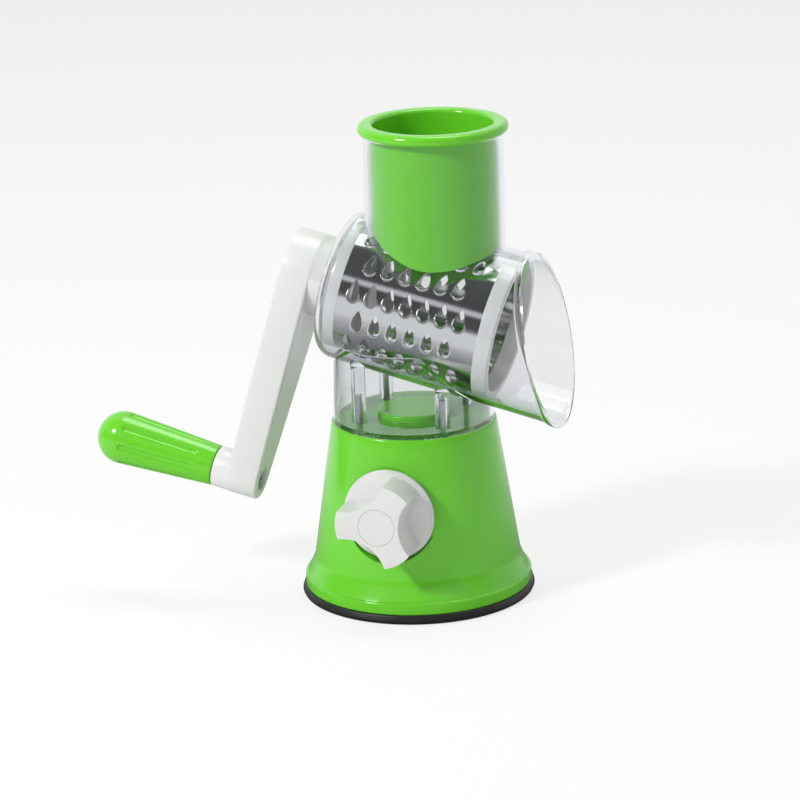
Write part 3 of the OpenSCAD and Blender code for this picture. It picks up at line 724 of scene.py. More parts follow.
class SHREDDER_OT_base(bpy.types.Operator):
    """Build the green conical base with its foot, deck and knob pocket"""
    bl_idname = "shredder.base"
    bl_label = "Base"
    # Roundings of the foot, its band, the step, the flare's hollow and the pedestal's top
    FOOT_EDGE, BAND_EDGE, STEP_EDGE, HOLLOW, PEDESTAL_EDGE = 0.0006, 0.0009, 0.0005, 0.0125, 0.0008
    # Radii of the cam shaft's bore and of the screw holes in the deck
    BORE, SCREW_HOLE = 0.0041, 0.0016

    def execute(self, context):
        base, knob = settings().base, settings().knob
        low = base.cup_height
        band = low + base.foot_height
        cone = band + base.flare_height
        deck = base.deck_height
        band_top = base.foot_radius - base.step
        pedestal, top = base.pedestal_radius, deck + base.pedestal_height
        outline = rounded([
            (0, low, 0), (base.foot_radius, low, self.FOOT_EDGE), (base.foot_radius, band, self.BAND_EDGE),
            (band_top, band, self.STEP_EDGE), (base.cone_radius, cone, self.HOLLOW),
            (base.top_radius, deck, base.edge), (pedestal, deck, self.STEP_EDGE),
            (pedestal, top, self.PEDESTAL_EDGE), (0, top, 0),
        ])
        piece = turned("green_base", spaced(outline))
        under, room = base.deck_thickness, base.pedestal_radius - base.deck_thickness
        inner = turned("hollow", [
            (0, low - OVER), (base.foot_radius - base.wall, low - OVER),
            (base.foot_radius - base.wall, band - base.wall), (base.cone_radius - base.wall, cone),
            (base.top_radius - base.wall, deck - under), (room, deck - under), (room, top - under),
            (0, top - under),
        ])
        pocket_radius = knob.skirt_radius + knob.pocket_gap
        pocket_floor = knob.back - knob.pocket_gap
        boss = rod("boss", pocket_radius + base.wall, pocket_floor - base.wall, REACH, ROUND)
        cut(inner, placed(boss, on_knob()))
        cut(piece, inner)
        pocket = rod("pocket", pocket_radius, pocket_floor, REACH, ROUND)
        bore = rod("bore", self.BORE, 0, REACH)
        cut(piece, placed(pocket, on_knob()), placed(bore, on_knob()))
        cut(piece, *at_bosses("hole", self.SCREW_HOLE, deck - 2 * base.wall, deck + OVER))
        finished(piece, "root", "green", "base_shell")
        return {"FINISHED"}


class SHREDDER_OT_cup(bpy.types.Operator):
    """Build the black rubber cup that the base stands on"""
    bl_idname = "shredder.cup"
    bl_label = "Rubber cup"
    # Width of the rim, height of its widest ring, and how far its edges lie in below and above that
    RIM, WIDEST, IN_BELOW, IN_ABOVE = 0.007, 0.0016, 0.0008, 0.0009
    # Roundings of the rim's outside and inside
    OUTER_EDGE, INNER_EDGE = 0.0008, 0.0006

    def execute(self, context):
        base = settings().base
        radius, height, skin = base.cup_radius, base.cup_height, base.cup_skin
        rim = radius - self.RIM
        outline = rounded([
            (0, 0, 0), (radius - self.IN_BELOW, 0, self.OUTER_EDGE), (radius, self.WIDEST, self.OUTER_EDGE),
            (radius - self.IN_ABOVE, height, self.OUTER_EDGE), (rim, height, self.INNER_EDGE),
            (rim, skin, self.INNER_EDGE), (0, skin, 0),
        ])
        finished(turned("rubber_cup", outline), "root", "rubber", "suction_cup")
        return {"FINISHED"}


class SHREDDER_OT_knob(bpy.types.Operator):
    """Build the white three-lobed suction knob with its domed skirt"""
    bl_idname = "shredder.knob"
    bl_label = "Knob"
    # Roundings of the skirt's back and front edges
    BACK_EDGE, FRONT_EDGE = 0.0005, 0.0008
    # Gap round the cap and depth of its seat
    CAP_GAP, CAP_SEAT = 0.00015, 0.002
    # Radius and floor of the screw's well, radius of its hole, and side and depth of the square socket
    WELL, WELL_FLOOR, SCREW_HOLE, SQUARE, SQUARE_DEPTH = 0.0048, 0.0112, 0.0019, 0.0055, 0.0098
    # Number of steps in the dome's curve
    DOME_STEPS = 24

    def execute(self, context):
        knob = settings().knob
        height = knob.face - knob.back
        lobes = rod("suction_knob", knob.lobe_radius, OVER, height, ROUND)
        at = knob.scallop_floor + knob.scallop_radius
        for third in spread(3):
            scallop = rod("scallop", knob.scallop_radius, -REACH / 2, REACH / 2, ROUND, x=at)
            cut(lobes, placed(scallop, third))
        bevelled(lobes, knob.edge, segments=4, sharper_than=50)
        rise, radius = knob.skirt_rise, knob.skirt_radius
        dome = (radius ** 2 + rise ** 2) / (2 * rise)
        top = knob.skirt_edge + rise
        arc = math.asin(radius / dome)
        angles = [arc * (1 - k / self.DOME_STEPS) for k in range(self.DOME_STEPS + 1)]
        curve = [(dome * math.sin(a), top - dome + dome * math.cos(a)) for a in angles]
        outline = rounded([(0, 0, 0), (radius, 0, self.BACK_EDGE), (*curve[0], self.FRONT_EDGE)])
        fused(lobes, turned("skirt", outline + curve[1:]))
        seat = rod("seat", knob.cap_radius + self.CAP_GAP, height - self.CAP_SEAT, height + OVER, ROUND)
        well = rod("well", self.WELL, self.WELL_FLOOR, height - OVER)
        bore = rod("bore", self.SCREW_HOLE, -OVER, height)
        socket = block("socket", (self.SQUARE, self.SQUARE, self.SQUARE_DEPTH), (0, 0, -OVER))
        cut(lobes, seat, well, bore, socket)
        placed(lobes, on_knob(knob.back))
        finished(lobes, "knob", "white", "knob", smooth=38)
        return {"FINISHED"}


class SHREDDER_OT_housing(bpy.types.Operator):
    """Build the clear moulding: collar, barrel, chute, slanted mouth and bosses"""
    bl_idname = "shredder.housing"
    bl_label = "Clear housing"
    # Steps in the barrel's rounded rear edge, and rounding of the bead and of the chute's top
    REAR_STEPS, LIP_EDGE = 12, 0.0007
    # Gaps round the crank's journal and the pedestal
    JOURNAL_GAP, PEDESTAL_GAP = 0.0001, 0.00005
    # Drop of the bosses' tops below the barrel's axis, and radius and depth of their screw holes
    BOSS_DROP, SCREW_HOLE, SCREW_DEPTH = 0.02, 0.00155, 0.017

    def barrel(self, name, inset, front):
        """The barrel's solid at an inset from its outer face, closed at the rear."""
        housing = settings().housing
        radius = housing.barrel_radius - inset
        rear = inset - housing.rear
        slope = housing.barrel_growth / (housing.mouth + housing.rear)
        end = radius + slope * (front - rear)
        outline = rounded([
            (0, rear, 0), (radius, rear, housing.barrel_round - inset), (end, front, 0), (0, front, 0),
        ], self.REAR_STEPS)
        return turned(name, spaced(outline, LONG_STRETCH))

    def execute(self, context):
        base, housing, crank = settings().base, settings().housing, settings().crank
        slant = Vector((-math.sin(housing.mouth_slant), 0, math.cos(housing.mouth_slant)))
        mouth = Vector((0, 0, housing.mouth))
        front = housing.mouth + housing.barrel_radius
        piece = bisected(self.barrel("clear_housing", 0, front), mouth, slant)
        placed(piece, on_axis())
        bead_radius = housing.barrel_radius + housing.barrel_growth + housing.bead
        bead = rod("bead", bead_radius, 0, front, ROUND)
        bisected(bead, mouth, slant)
        bisected(bead, mouth - slant * housing.bead_width, -slant)
        bevelled(bead, self.LIP_EDGE)
        deck, height = base.deck_height, housing.axis_height
        collar_top = height - housing.barrel_radius / 2
        wall = housing.wall
        collar = turned("collar", spaced([
            (0, deck), (housing.collar_radius, deck), (housing.collar_top_radius, collar_top),
            (0, collar_top),
        ]))
        cut(collar, turned("collar_room", spaced([
            (0, deck + wall), (housing.collar_radius - wall, deck + wall),
            (housing.collar_top_radius - wall, collar_top + wall), (0, collar_top + wall),
        ])))
        over_chute = shifted(x=housing.chute_x)
        chute = turned("chute", spaced(rounded([
            (0, height, 0), (housing.chute_radius, height, 0),
            (housing.chute_radius, housing.chute_top, self.LIP_EDGE), (0, housing.chute_top, 0),
        ]), LONG_STRETCH))
        placed(chute, over_chute)
        sleeve = rod("sleeve", housing.sleeve_radius, -housing.rear - housing.sleeve_length,
                     wall - housing.rear, ROUND)
        fused(piece, placed(bead, on_axis()), collar, chute, placed(sleeve, on_axis()))
        healed(piece)
        fused(piece, *at_bosses("boss", housing.boss_radius, deck + wall / 2, height - self.BOSS_DROP))
        chute_room = rod("chute_room", housing.chute_radius - wall, height + wall, REACH, ROUND)
        journal = rod("journal", crank.journal_radius + self.JOURNAL_GAP, -crank.inner, 0, ROUND)
        hole_radius = base.pedestal_radius + self.PEDESTAL_GAP
        cut(
            piece,
            placed(self.barrel("barrel_room", wall, front), on_axis()),
            placed(chute_room, over_chute),
            placed(journal, on_axis()),
            rod("pedestal_hole", hole_radius, deck - OVER, deck + wall + OVER, ROUND),
        )
        cut(piece, *at_bosses("hole", self.SCREW_HOLE, deck - OVER, deck + self.SCREW_DEPTH))
        finished(piece, "root", "clear", "housing", smooth=30)
        return {"FINISHED"}


class SHREDDER_OT_crank_arm(bpy.types.Operator):
    """Build the white crank arm with its hub, ribbed back and boss for the grip"""
    bl_idname = "shredder.crank_arm"
    bl_label = "Crank arm"
    # Angle in degrees below which the hull's faces are merged
    FLAT = 0.5
    # Inset of the hub in the arm, and roundings of the hub and of the boss for the grip
    HUB_INSET, HUB_EDGE, BOSS_EDGE = 0.0002, 0.001, 0.0005
    # Height above the open back at which the cores start, radius of the bolt's core, and number of ribs
    CORE_START, BOLT_CORE, RIBS = 0.0004, 0.0073, 5
    # Gap round the housing's sleeve and depth of its room in the hub
    SLEEVE_GAP, SLEEVE_DEPTH = 0.0004, 0.0034
    # Gaps round the journal and the bolt
    JOURNAL_GAP, BOLT_GAP = 0.00005, 0.0001
    # Side and length of the square tail's socket, and the share of it that lies below the journal
    SQUARE, TAIL, TAIL_SHARE = 0.0122, 0.01, 0.76
    # Radius and depth of the screw's well in the back, and radius of its hole
    WELL, WELL_DEPTH, SCREW_HOLE = 0.0061, 0.006, 0.0025

    def hull(self, name, inset, low, high):
        """The arm's outline at an inset, as a solid between two heights."""
        crank = settings().crank
        hub = rod("hub_end", crank.hub_radius - inset, low, high, ROUND)
        end = rod("grip_end", crank.end_radius - inset, low, high, ROUND, x=crank.reach)
        edit(joined(name, [hub, end]))
        bpy.ops.mesh.convex_hull()
        bpy.ops.mesh.select_all(action="SELECT")
        bpy.ops.mesh.dissolve_limited(angle_limit=math.radians(self.FLAT))
        leave_edit()
        return named(name)

    def execute(self, context):
        crank, housing = settings().crank, settings().housing
        thickness, wall = crank.thickness, crank.wall
        round_edge = {"segments": 4, "sharper_than": 50}
        piece = bevelled(self.hull("crank_arm_body", 0, 0, thickness), crank.edge, **round_edge)
        hub_height = crank.inner + thickness - crank.hub_front
        hub = rod("hub", crank.hub_radius - self.HUB_INSET, crank.hollow, hub_height, ROUND)
        bevelled(hub, self.HUB_EDGE, sharper_than=50)
        boss = rod("boss", crank.boss_radius, -crank.boss_length, wall, ROUND, x=crank.reach)
        bevelled(boss, self.BOSS_EDGE, segments=2, sharper_than=50)
        cut(piece, self.hull("hollow", wall, -OVER, crank.hollow))
        fused(piece, hub, boss)
        core = rod("core", crank.journal_radius + wall, self.CORE_START, thickness - OVER, ROUND)
        bolt_core = rod("bolt_core", self.BOLT_CORE, self.CORE_START, thickness - OVER, ROUND, x=crank.reach)
        spine = block("spine", (crank.reach, wall, thickness - wall - OVER), (crank.reach / 2, 0, wall))
        ribs = []
        for k in range(1, self.RIBS + 1):
            at = crank.hub_radius + k * (crank.reach - crank.hub_radius) / (self.RIBS + 1)
            width = 2 * (crank.hub_radius + (crank.end_radius - crank.hub_radius) * at / crank.reach)
            ribs.append(block("rib", (wall, width - 2 * wall, thickness - wall - OVER), (at, 0, wall)))
        fused(piece, core, bolt_core, spine, *ribs)
        seat = thickness + wall
        below = self.TAIL * self.TAIL_SHARE
        cut(
            piece,
            rod("sleeve_room", housing.sleeve_radius + self.SLEEVE_GAP, hub_height - self.SLEEVE_DEPTH,
                REACH, ROUND),
            rod("journal_room", crank.journal_radius + self.JOURNAL_GAP, seat, REACH, ROUND),
            block("square", (self.SQUARE, self.SQUARE, self.TAIL), (0, 0, seat + OVER - below)),
            rod("well", self.WELL, -OVER, self.WELL_DEPTH),
            rod("screw_hole", self.SCREW_HOLE, 0, thickness),
            rod("head_room", crank.recess_radius, thickness - crank.recess_depth, thickness + OVER,
                x=crank.reach),
            rod("bolt_hole", crank.bolt_radius + self.BOLT_GAP, -REACH / 2, REACH / 2, x=crank.reach),
        )
        placed(piece, on_arm())
        finished(piece, "crank", "white", "crank_arm", smooth=34)
        return {"FINISHED"}


class SHREDDER_OT_grip(bpy.types.Operator):
    """Build the green fluted grip"""
    bl_idname = "shredder.grip"
    bl_label = "Grip"
    # Rounding of the edge at the arm, and gap round the bolt
    EDGE, BOLT_GAP = 0.0006, 0.00005
    # Steps in the tip's curve and in the curve of a flute's ends, and number of faces round a flute
    TIP_STEPS, END_STEPS, FLUTE_ROUND = 20, 8, 48

    def quarter(self, steps):
        """The angles of a quarter turn, in steps."""
        return [math.pi / 2 * k / steps for k in range(steps + 1)]

    def execute(self, context):
        grip, crank = settings().grip, settings().crank
        tip = grip.tip_radius
        shoulder = grip.length - tip
        curve = [(tip * math.cos(a), shoulder + tip * math.sin(a)) for a in self.quarter(self.TIP_STEPS)]
        outline = rounded([(0, 0, 0), (grip.radius, 0, self.EDGE), (*curve[0], 0)]) + curve[1:]
        piece = turned("fluted_grip", spaced(outline))
        radius, angles = grip.flute_radius, self.quarter(self.END_STEPS)
        near = [(radius * math.sin(a), radius - radius * math.cos(a)) for a in angles]
        far = [(radius * math.cos(a), grip.flute_length - radius + radius * math.sin(a)) for a in angles]
        flute = turned("flute", near + far, self.FLUTE_ROUND)
        slope = math.atan((tip - grip.radius) / shoulder)
        at = grip.radius + radius - grip.flute_depth
        for k in range(grip.flutes):
            place = (
                Matrix.Rotation(math.tau * (k + 0.5) / grip.flutes, 4, "Z")
                @ shifted(x=at) @ Matrix.Rotation(slope, 4, "Y") @ shifted(z=grip.flute_start)
            )
            cut(piece, copied(flute, place))
        removed(flute)
        cut(piece, rod("hole", crank.bolt_radius + self.BOLT_GAP, -OVER, grip.length / 2 + OVER))
        placed(piece, on_grip() @ shifted(z=grip.start))
        finished(piece, "grip", "green", "grip", smooth=38)
        return {"FINISHED"}


class SHREDDER_OT_drum(bpy.types.Operator):
    """Build the stainless drum with its pressed teardrop teeth"""
    bl_idname = "shredder.drum"
    bl_label = "Toothed drum"
    # Longest stretch between the points of the sheet's outline
    STRETCH = 0.0045
    # Steps in a tooth's sides and in its round end
    SIDE_STEPS, END_STEPS = 9, 14
    # Depth of a tooth below its place, in thicknesses of the sheet
    ROOT = 3
    # A tooth's crown: drops below its top, with the share of the outline's size that is left there
    CROWN = ((0.0009, 1), (0.0005, 0.97), (0.0002, 0.93), (0.00005, 0.89), (0, 0.86))

    def radius_at(self, along):
        drum = settings().drum
        slope = (drum.front_radius - drum.rear_radius) / (drum.ring + drum.rear)
        return drum.rear_radius + slope * (along + drum.rear)

    def tooth_outline(self, grow, height):
        """A tooth's outline, grown by a margin: round towards +X, with curved sides to a point at -X."""
        drum = settings().drum
        radius, point = drum.tooth_radius, drum.tooth_length - drum.tooth_radius
        side = (point ** 2 + radius ** 2) / (2 * radius)
        away = side - radius
        sweep = math.acos(away / (side + grow))
        angles = [sweep * (1 - k / self.SIDE_STEPS) for k in range(self.SIDE_STEPS)]
        upper = [(-(side + grow) * math.sin(a), (side + grow) * math.cos(a) - away) for a in angles]
        turns = [math.pi / 2 - math.pi * k / self.END_STEPS for k in range(self.END_STEPS + 1)]
        end = [((radius + grow) * math.cos(a), (radius + grow) * math.sin(a)) for a in turns]
        lower = [(x, -y) for x, y in reversed(upper[1:])]
        return [(x, y, height) for x, y in upper + end + lower]

    def tooth(self, name, grow, low, levels):
        """A tooth's solid from an outline up through (height, scale) levels."""
        drawn(self.tooth_outline(grow, low))
        bpy.ops.mesh.select_all(action="SELECT")
        bpy.ops.mesh.edge_face_add()
        level, scale = low, 1.0
        for height, share in levels:
            bpy.ops.mesh.extrude_region_move(TRANSFORM_OT_translate={"value": (0, 0, height - level)})
            bpy.ops.transform.resize(value=(share / scale, share / scale, 1), center_override=(0, 0, 0))
            level, scale = height, share
        tidy_mesh()
        return named(name)

    def tooth_places(self):
        """The place of each tooth on the drum."""
        drum = settings().drum
        upright = Matrix.Rotation(math.pi / 2, 4, "Z") @ Matrix.Rotation(math.pi / 2, 4, "X")
        for row in range(drum.rows):
            count = drum.row_teeth - 1 + row % 2
            around = -math.pi / 2 - drum.row_offset - row * math.tau / drum.rows
            for k in range(count):
                along = drum.rows_middle + (k - (count - 1) / 2) * drum.pitch
                yield (
                    on_axis(along) @ Matrix.Rotation(around, 4, "Z")
                    @ shifted(self.radius_at(along), drum.tooth_length / 4)
                    @ Matrix.Rotation(-drum.tooth_tilt, 4, "Z") @ upright
                )

    def execute(self, context):
        drum = settings().drum
        end = drum.ring + drum.ring_width / 3
        rear, front = self.radius_at(-drum.rear), self.radius_at(end)
        sheet = drum.sheet
        outline = spaced([(0, -drum.rear), (rear, -drum.rear), (front, end), (0, end)], self.STRETCH)
        piece = placed(turned("toothed_drum", outline), on_axis())
        reach = drum.tooth_length / 4 + drum.tooth_radius
        proud = (
            drum.tooth_height
            - drum.tooth_radius * math.sin(drum.tooth_tilt)
            - reach ** 2 / (2 * drum.rear_radius)
        )
        levels = [(proud - drop, share) for drop, share in self.CROWN]
        mound = self.tooth("mound", drum.tooth_foot, -self.ROOT * sheet, levels)
        opening = self.tooth("opening", -drum.tooth_lip, -drum.tooth_radius, [(drum.tooth_radius, 1)])
        mounds = [copied(mound, place) for place in self.tooth_places()]
        openings = [copied(opening, place) for place in self.tooth_places()]
        removed(mound)
        removed(opening)
        healed(fused(piece, joined("mounds", mounds)))
        inside = turned("inside", [
            (0, -drum.rear - OVER), (rear - sheet, -drum.rear - OVER), (front - sheet, end + OVER),
            (0, end + OVER),
        ])
        healed(cut(piece, placed(inside, on_axis())))
        healed(cut(piece, joined("openings", openings)))
        finished(piece, "drum", "steel", "drum_shell", smooth=30)
        return {"FINISHED"}


class SHREDDER_OT_drum_ends(bpy.types.Operator):
    """Build the white ring and the ribbed white hub at the drum's ends"""
    bl_idname = "shredder.drum_ends"
    bl_label = "Drum ends"
    # Width of the ring inside the sheet, and gaps between its groove and the sheet's two faces
    RING_INSIDE, OUTER_GAP, INNER_GAP = 0.002, 0.00025, 0.0001
    # Roundings of the ring: outer lip, outer rear, outer front, inner front, inner rear and inner lip
    RING_EDGES = (0.0001, 0.0005, 0.0010, 0.0008, 0.0004, 0.0002)
    # Distance from the base's axis to the hub's rear face, and thickness of its web
    HUB_REAR, WEB = 0.033, 0.002
    # Gap between spigot and sheet, and length of the spigot
    SPIGOT_GAP, SPIGOT = 0.00005, 0.0061
    # Roundings of the hub: rear face, shoulder, spigot and inside corner
    HUB_EDGES = (0.0008, 0.0003, 0.0004, 0.0005)
    # Radius, length and rounding of the core, side of its square, and number and height of the ribs
    CORE, CORE_LENGTH, CORE_EDGE, SQUARE, RIBS, RIB = 0.0105, 0.01575, 0.0005, 0.0112, 6, 0.007

    def ring(self):
        drum = settings().drum
        low, high = drum.ring, drum.ring + drum.ring_width
        seat = low + drum.ring_width / 3
        inner = drum.front_radius - drum.sheet - self.RING_INSIDE
        groove = drum.front_radius + self.OUTER_GAP, drum.front_radius - drum.sheet - self.INNER_GAP
        corners = [
            (groove[0], low), (drum.ring_radius, low), (drum.ring_radius, high), (inner, high),
            (inner, low), (groove[1], low),
        ]
        outline = rounded(
            [(*corner, edge) for corner, edge in zip(corners, self.RING_EDGES)]
            + [(groove[1], seat, 0), (groove[0], seat, 0)]
        )
        piece = placed(turned("drum_front_ring", outline + [outline[0]]), on_axis())
        finished(piece, "drum", "white", "drum_ring")

    def hub(self):
        drum = settings().drum
        rear, web, edge = self.HUB_REAR, self.WEB, -drum.rear
        spigot = drum.rear_radius - drum.sheet - self.SPIGOT_GAP
        rear_edge, shoulder, end_edge, inside = self.HUB_EDGES
        outline = rounded([
            (0, -rear, 0), (drum.rear_radius, -rear, rear_edge), (drum.rear_radius, edge, shoulder),
            (spigot, edge, 0), (spigot, edge + self.SPIGOT, end_edge),
            (spigot - web, edge + self.SPIGOT, end_edge), (spigot - web, web - rear, inside),
            (0, web - rear, 0),
        ])
        piece = turned("drum_rear_hub", outline)
        core = rod("core", self.CORE, -rear + OVER, self.CORE_LENGTH - rear, ROUND)
        bevelled(core, self.CORE_EDGE, segments=2, sharper_than=50)
        length = spigot - web / 2
        ribs = [
            placed(block("rib", (length, web, self.RIB), (length / 2, 0, OVER - rear)), place)
            for place in spread(self.RIBS)
        ]
        fused(piece, core, *ribs)
        cut(piece, block("socket", (self.SQUARE, self.SQUARE, self.CORE_LENGTH), (0, 0, -rear - OVER)))
        placed(piece, on_axis())
        finished(piece, "drum", "white", "drum_hub")

    def execute(self, context):
        self.ring()
        self.hub()
        return {"FINISHED"}


class SHREDDER_OT_pusher(bpy.types.Operator):
    """Build the green pusher: a cup with a rolled rim and a hollow underside"""
    bl_idname = "shredder.pusher"
    bl_label = "Pusher"
    # Longest stretch between the points of an outline, and steps in its rounded corners
    STRETCH, STEPS = 0.005, 8
    # Roundings under the rim: at the wall and at the rim's lower edge, then of its upper edges
    WALL_EDGE, UNDER_EDGE, OUTER_EDGE, INNER_EDGE = 0.0003, 0.0022, 0.0026, 0.0020
    # Depths below the top at which the solid and the room in it end, and rounding of the room
    SOLID_DEPTH, ROOM_DEPTH, ROOM_EDGE = 0.006, 0.005, 0.0008

    def saddle(self, grow):
        pusher = settings().pusher
        radius = pusher.saddle_radius + grow
        saddle = rod("saddle", radius, -REACH, REACH, 2 * ROUND, x=pusher.saddle_drop)
        return placed(saddle, on_axis())

    def execute(self, context):
        pusher, housing = settings().pusher, settings().housing
        radius = housing.chute_radius - housing.wall - pusher.gap
        rim = housing.chute_top
        top = rim + pusher.rim_height
        bottom = housing.axis_height
        inner = radius - pusher.wall
        outline = rounded([
            (0, bottom, 0), (radius, bottom, 0), (radius, rim, self.WALL_EDGE),
            (pusher.rim_radius, rim, self.UNDER_EDGE), (pusher.rim_radius, top, self.OUTER_EDGE),
            (inner, top, self.INNER_EDGE), (inner, top - self.SOLID_DEPTH, 0), (0, top - self.SOLID_DEPTH, 0),
        ], self.STEPS)
        centre = shifted(x=housing.chute_x)
        piece = placed(turned("food_pusher", spaced(outline, self.STRETCH)), centre)
        cut(piece, self.saddle(0))
        ceiling = top - self.ROOM_DEPTH
        room = [(0, bottom), (inner, bottom), (inner, ceiling), (0, ceiling)]
        room = placed(turned("room", spaced(room, self.STRETCH)), centre)
        cut(piece, bevelled(cut(room, self.saddle(pusher.wall)), self.ROOM_EDGE))
        finished(piece, "pusher", "green", "pusher")
        return {"FINISHED"}


class SHREDDER_OT_small_parts(bpy.types.Operator):
    """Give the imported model's own screws, rods and inner parts their finishes"""
    bl_idname = "shredder.small_parts"
    bl_label = "Small parts"

    def execute(self, context):
        made = finishes()
        slots = {part["node"]: part["material_slot"] for part in frame["record"]["subparts"]}
        for name, node in frame["nodes"].items():
            finish = made[slots[name]]
            for place in node.material_slots:
                place.material = finish
            if not node.material_slots:
                node.data.materials.append(finish)
        return {"FINISHED"}


# Stage

def lamp(name, place, aim, size, power):
    """A soft square lamp that faces a point."""
    deselect_all()
    bpy.ops.object.light_add(type="AREA", location=place)
    light = bpy.context.active_object
    light.name = name
    light.data.shape = "RECTANGLE"
    light.data.size, light.data.size_y = size
    light.data.energy = power
    light.rotation_euler = (Vector(aim) - Vector(place)).to_track_quat("-Z", "Y").to_euler()


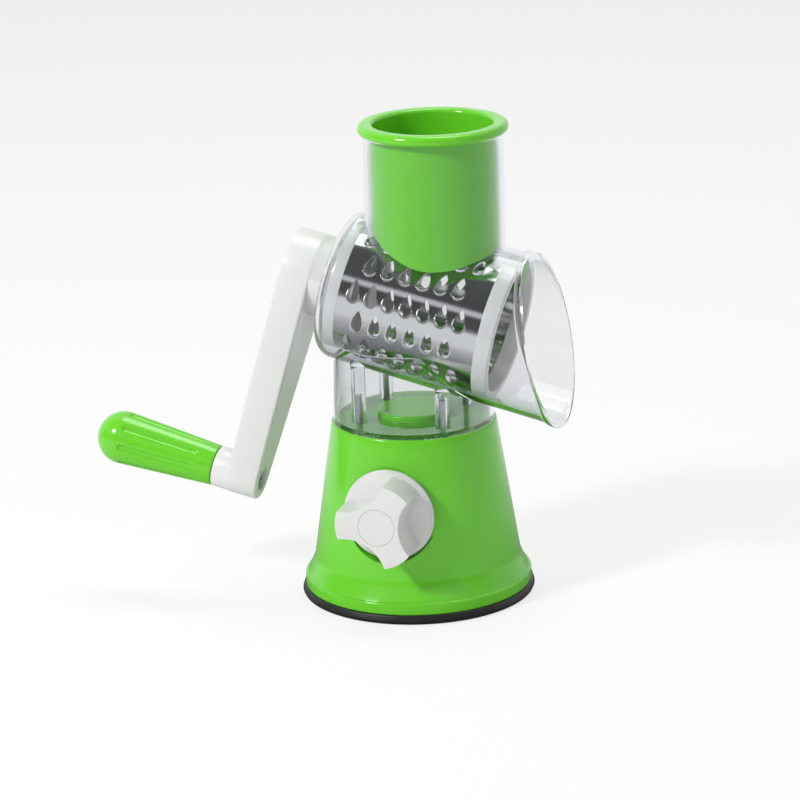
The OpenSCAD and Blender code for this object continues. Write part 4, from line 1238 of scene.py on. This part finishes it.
class SHREDDER_OT_stage(bpy.types.Operator):
    """Set the pale floor, the white surroundings, the lamps and the camera"""
    bl_idname = "shredder.stage"
    bl_label = "Stage"
    # Drop of the floor below the object
    FLOOR_DROP = 0.0002
    # Brightness of the mirrored floor near the object, where it is darker as painted shade, and far off, and
    # the distances of the two
    NEAR_GLOW, FAR_GLOW, NEAR, FAR = 0.15, 1.0, 0.05, 0.30
    # Share of plain white in the floor that the eye sees
    FLOOR_WHITE = 0.72
    # Strength of the plain light from all round
    PLAIN_LIGHT = 0.37
    # Brightness of the room in front of the backdrop by height, from the horizon to straight up
    ROOM = ((0.0, 0.40), (0.06, 0.12), (0.38, 0.08), (0.44, 0.80), (0.50, 0.80), (0.56, 0.08), (1.0, 0.12))
    # Directions, from front to back, between which the room gives way to the backdrop
    BACKDROP_START, BACKDROP_END = -0.05, 0.25
    # Place, size and power in watts of each lamp, and the point that they face
    LAMPS = {
        "key_lamp": ((-1.0, -1.25, 1.25), (0.26, 0.26), 25.5),
        "fill_lamp": ((1.4, -0.9, 0.7), (0.9, 0.9), 0.6),
        "top_lamp": ((0.1, 0.3, 1.6), (0.9, 0.6), 9.2),
    }
    LAMP_AIM = (0, 0, 0.12)
    # Distance past which the camera sees nothing
    SIGHT = 20

    def floor(self):
        studio = settings().studio
        deselect_all()
        bpy.ops.mesh.primitive_plane_add(size=2 * studio.floor, location=(0, 0, -self.FLOOR_DROP))
        bpy.ops.object.transform_apply(location=True, rotation=True, scale=True)
        floor = named("pale_floor")
        made, tree = material("pale_floor")
        seen, mirrored = eye_rays(tree)
        # In reflections the floor glows, with painted shade that darkens it near the object
        away = tree.node("ShaderNodeVectorMath", {"operation": "LENGTH"}, {0: places(tree)}, output=1)
        glow_with_painted_shade = tree.node("ShaderNodeMapRange", {}, {
            "Value": away, "From Min": self.NEAR, "From Max": self.FAR,
            "To Min": self.NEAR_GLOW, "To Max": self.FAR_GLOW,
        })
        grain = noise(tree, places(tree), 400.0)
        tone = between(tree, grain, shade((0.88, 0.88, 0.88)), shade((0.92, 0.92, 0.92)))
        matt = tree.node("ShaderNodeBsdfDiffuse", {}, {"Color": tone})
        white = tree.node("ShaderNodeEmission", {}, {"Color": seen + mirrored * glow_with_painted_shade, "Strength": 1.0})
        share = self.FLOOR_WHITE * seen + mirrored
        surface(tree, tree.node("ShaderNodeMixShader", {}, {0: share, 1: matt, 2: white}))
        floor.data.materials.append(made)

    def surroundings(self):
        """White to the eye, plain soft light, and in reflections a white backdrop and a darker room."""
        world = bpy.data.worlds.new("surroundings")
        bpy.context.scene.world = world
        tree = emptied(world)
        seen, mirrored = eye_rays(tree)
        direction = tree.node("ShaderNodeTexCoord", output=0)
        height = tree.node("ShaderNodeSeparateXYZ", {}, {0: direction}, output=2)
        depth = tree.node("ShaderNodeSeparateXYZ", {}, {0: direction}, output=1)
        room = tree.node("ShaderNodeValToRGB", {"stops": self.ROOM}, {0: height})
        backdrop = tree.node("ShaderNodeMapRange", {}, {
            "Value": depth, "From Min": self.BACKDROP_START, "From Max": self.BACKDROP_END,
        })
        reflected = room * (1 - backdrop) + backdrop
        strength = seen + mirrored * reflected + self.PLAIN_LIGHT * (1 - seen) * (1 - mirrored)
        light = tree.node("ShaderNodeBackground", {}, {"Color": (1, 1, 1, 1), "Strength": strength})
        surface(tree, light, "ShaderNodeOutputWorld")

    def camera(self):
        studio = settings().studio
        deselect_all()
        target = Vector(studio.target)
        turn, rise = studio.azimuth, studio.elevation
        direction = Vector((
            math.sin(turn) * math.cos(rise), -math.cos(turn) * math.cos(rise), math.sin(rise),
        ))
        place = target + direction * studio.distance
        bpy.ops.object.camera_add(location=place)
        camera = bpy.context.active_object
        camera.name = "camera"
        look = (target - place).to_track_quat("-Z", "Y").to_matrix()
        camera.rotation_euler = (look @ Matrix.Rotation(-studio.roll, 3, "Z")).to_euler()
        camera.data.lens = studio.lens
        camera.data.shift_x = studio.shift_x
        camera.data.shift_y = studio.shift_y
        camera.data.clip_end = self.SIGHT
        bpy.context.scene.camera = camera

    def execute(self, context):
        self.floor()
        self.surroundings()
        for name, (place, size, power) in self.LAMPS.items():
            lamp(name, place, self.LAMP_AIM, size, power)
        self.camera()
        context.scene.view_settings.view_transform = "Standard"
        return {"FINISHED"}


class SHREDDER_PT_sidebar(bpy.types.Panel):
    """The shredder's pieces, in the order they are built"""
    bl_label = "Rotary Shredder"
    bl_idname = "SHREDDER_PT_sidebar"
    bl_space_type = "VIEW_3D"
    bl_region_type = "UI"
    bl_category = "Shredder"

    def draw(self, context):
        for operator in BUILD_ORDER:
            self.layout.operator(operator.bl_idname)


BUILD_ORDER = (
    SHREDDER_OT_small_parts, SHREDDER_OT_base, SHREDDER_OT_cup, SHREDDER_OT_knob, SHREDDER_OT_housing,
    SHREDDER_OT_crank_arm, SHREDDER_OT_grip, SHREDDER_OT_drum, SHREDDER_OT_drum_ends,
    SHREDDER_OT_pusher, SHREDDER_OT_stage,
)
CLASSES = (
    BaseSizes, KnobSizes, HousingSizes, PusherSizes, DrumSizes, CrankSizes, GripSizes, FinishColours,
    StudioSettings, ShredderSettings, *BUILD_ORDER, SHREDDER_PT_sidebar,
)


def register():
    for item in CLASSES:
        bpy.utils.register_class(item)
    bpy.types.Scene.shredder = PointerProperty(type=ShredderSettings)


def unregister():
    del bpy.types.Scene.shredder
    for item in reversed(CLASSES):
        bpy.utils.unregister_class(item)


def main():
    register()
    bpy.ops.shredder.small_parts()
    bpy.ops.shredder.base()
    bpy.ops.shredder.cup()
    bpy.ops.shredder.knob()
    bpy.ops.shredder.housing()
    bpy.ops.shredder.crank_arm()
    bpy.ops.shredder.grip()
    bpy.ops.shredder.drum()
    bpy.ops.shredder.drum_ends()
    bpy.ops.shredder.pusher()
    bpy.ops.shredder.stage()


if __name__ == "__main__":
    main()
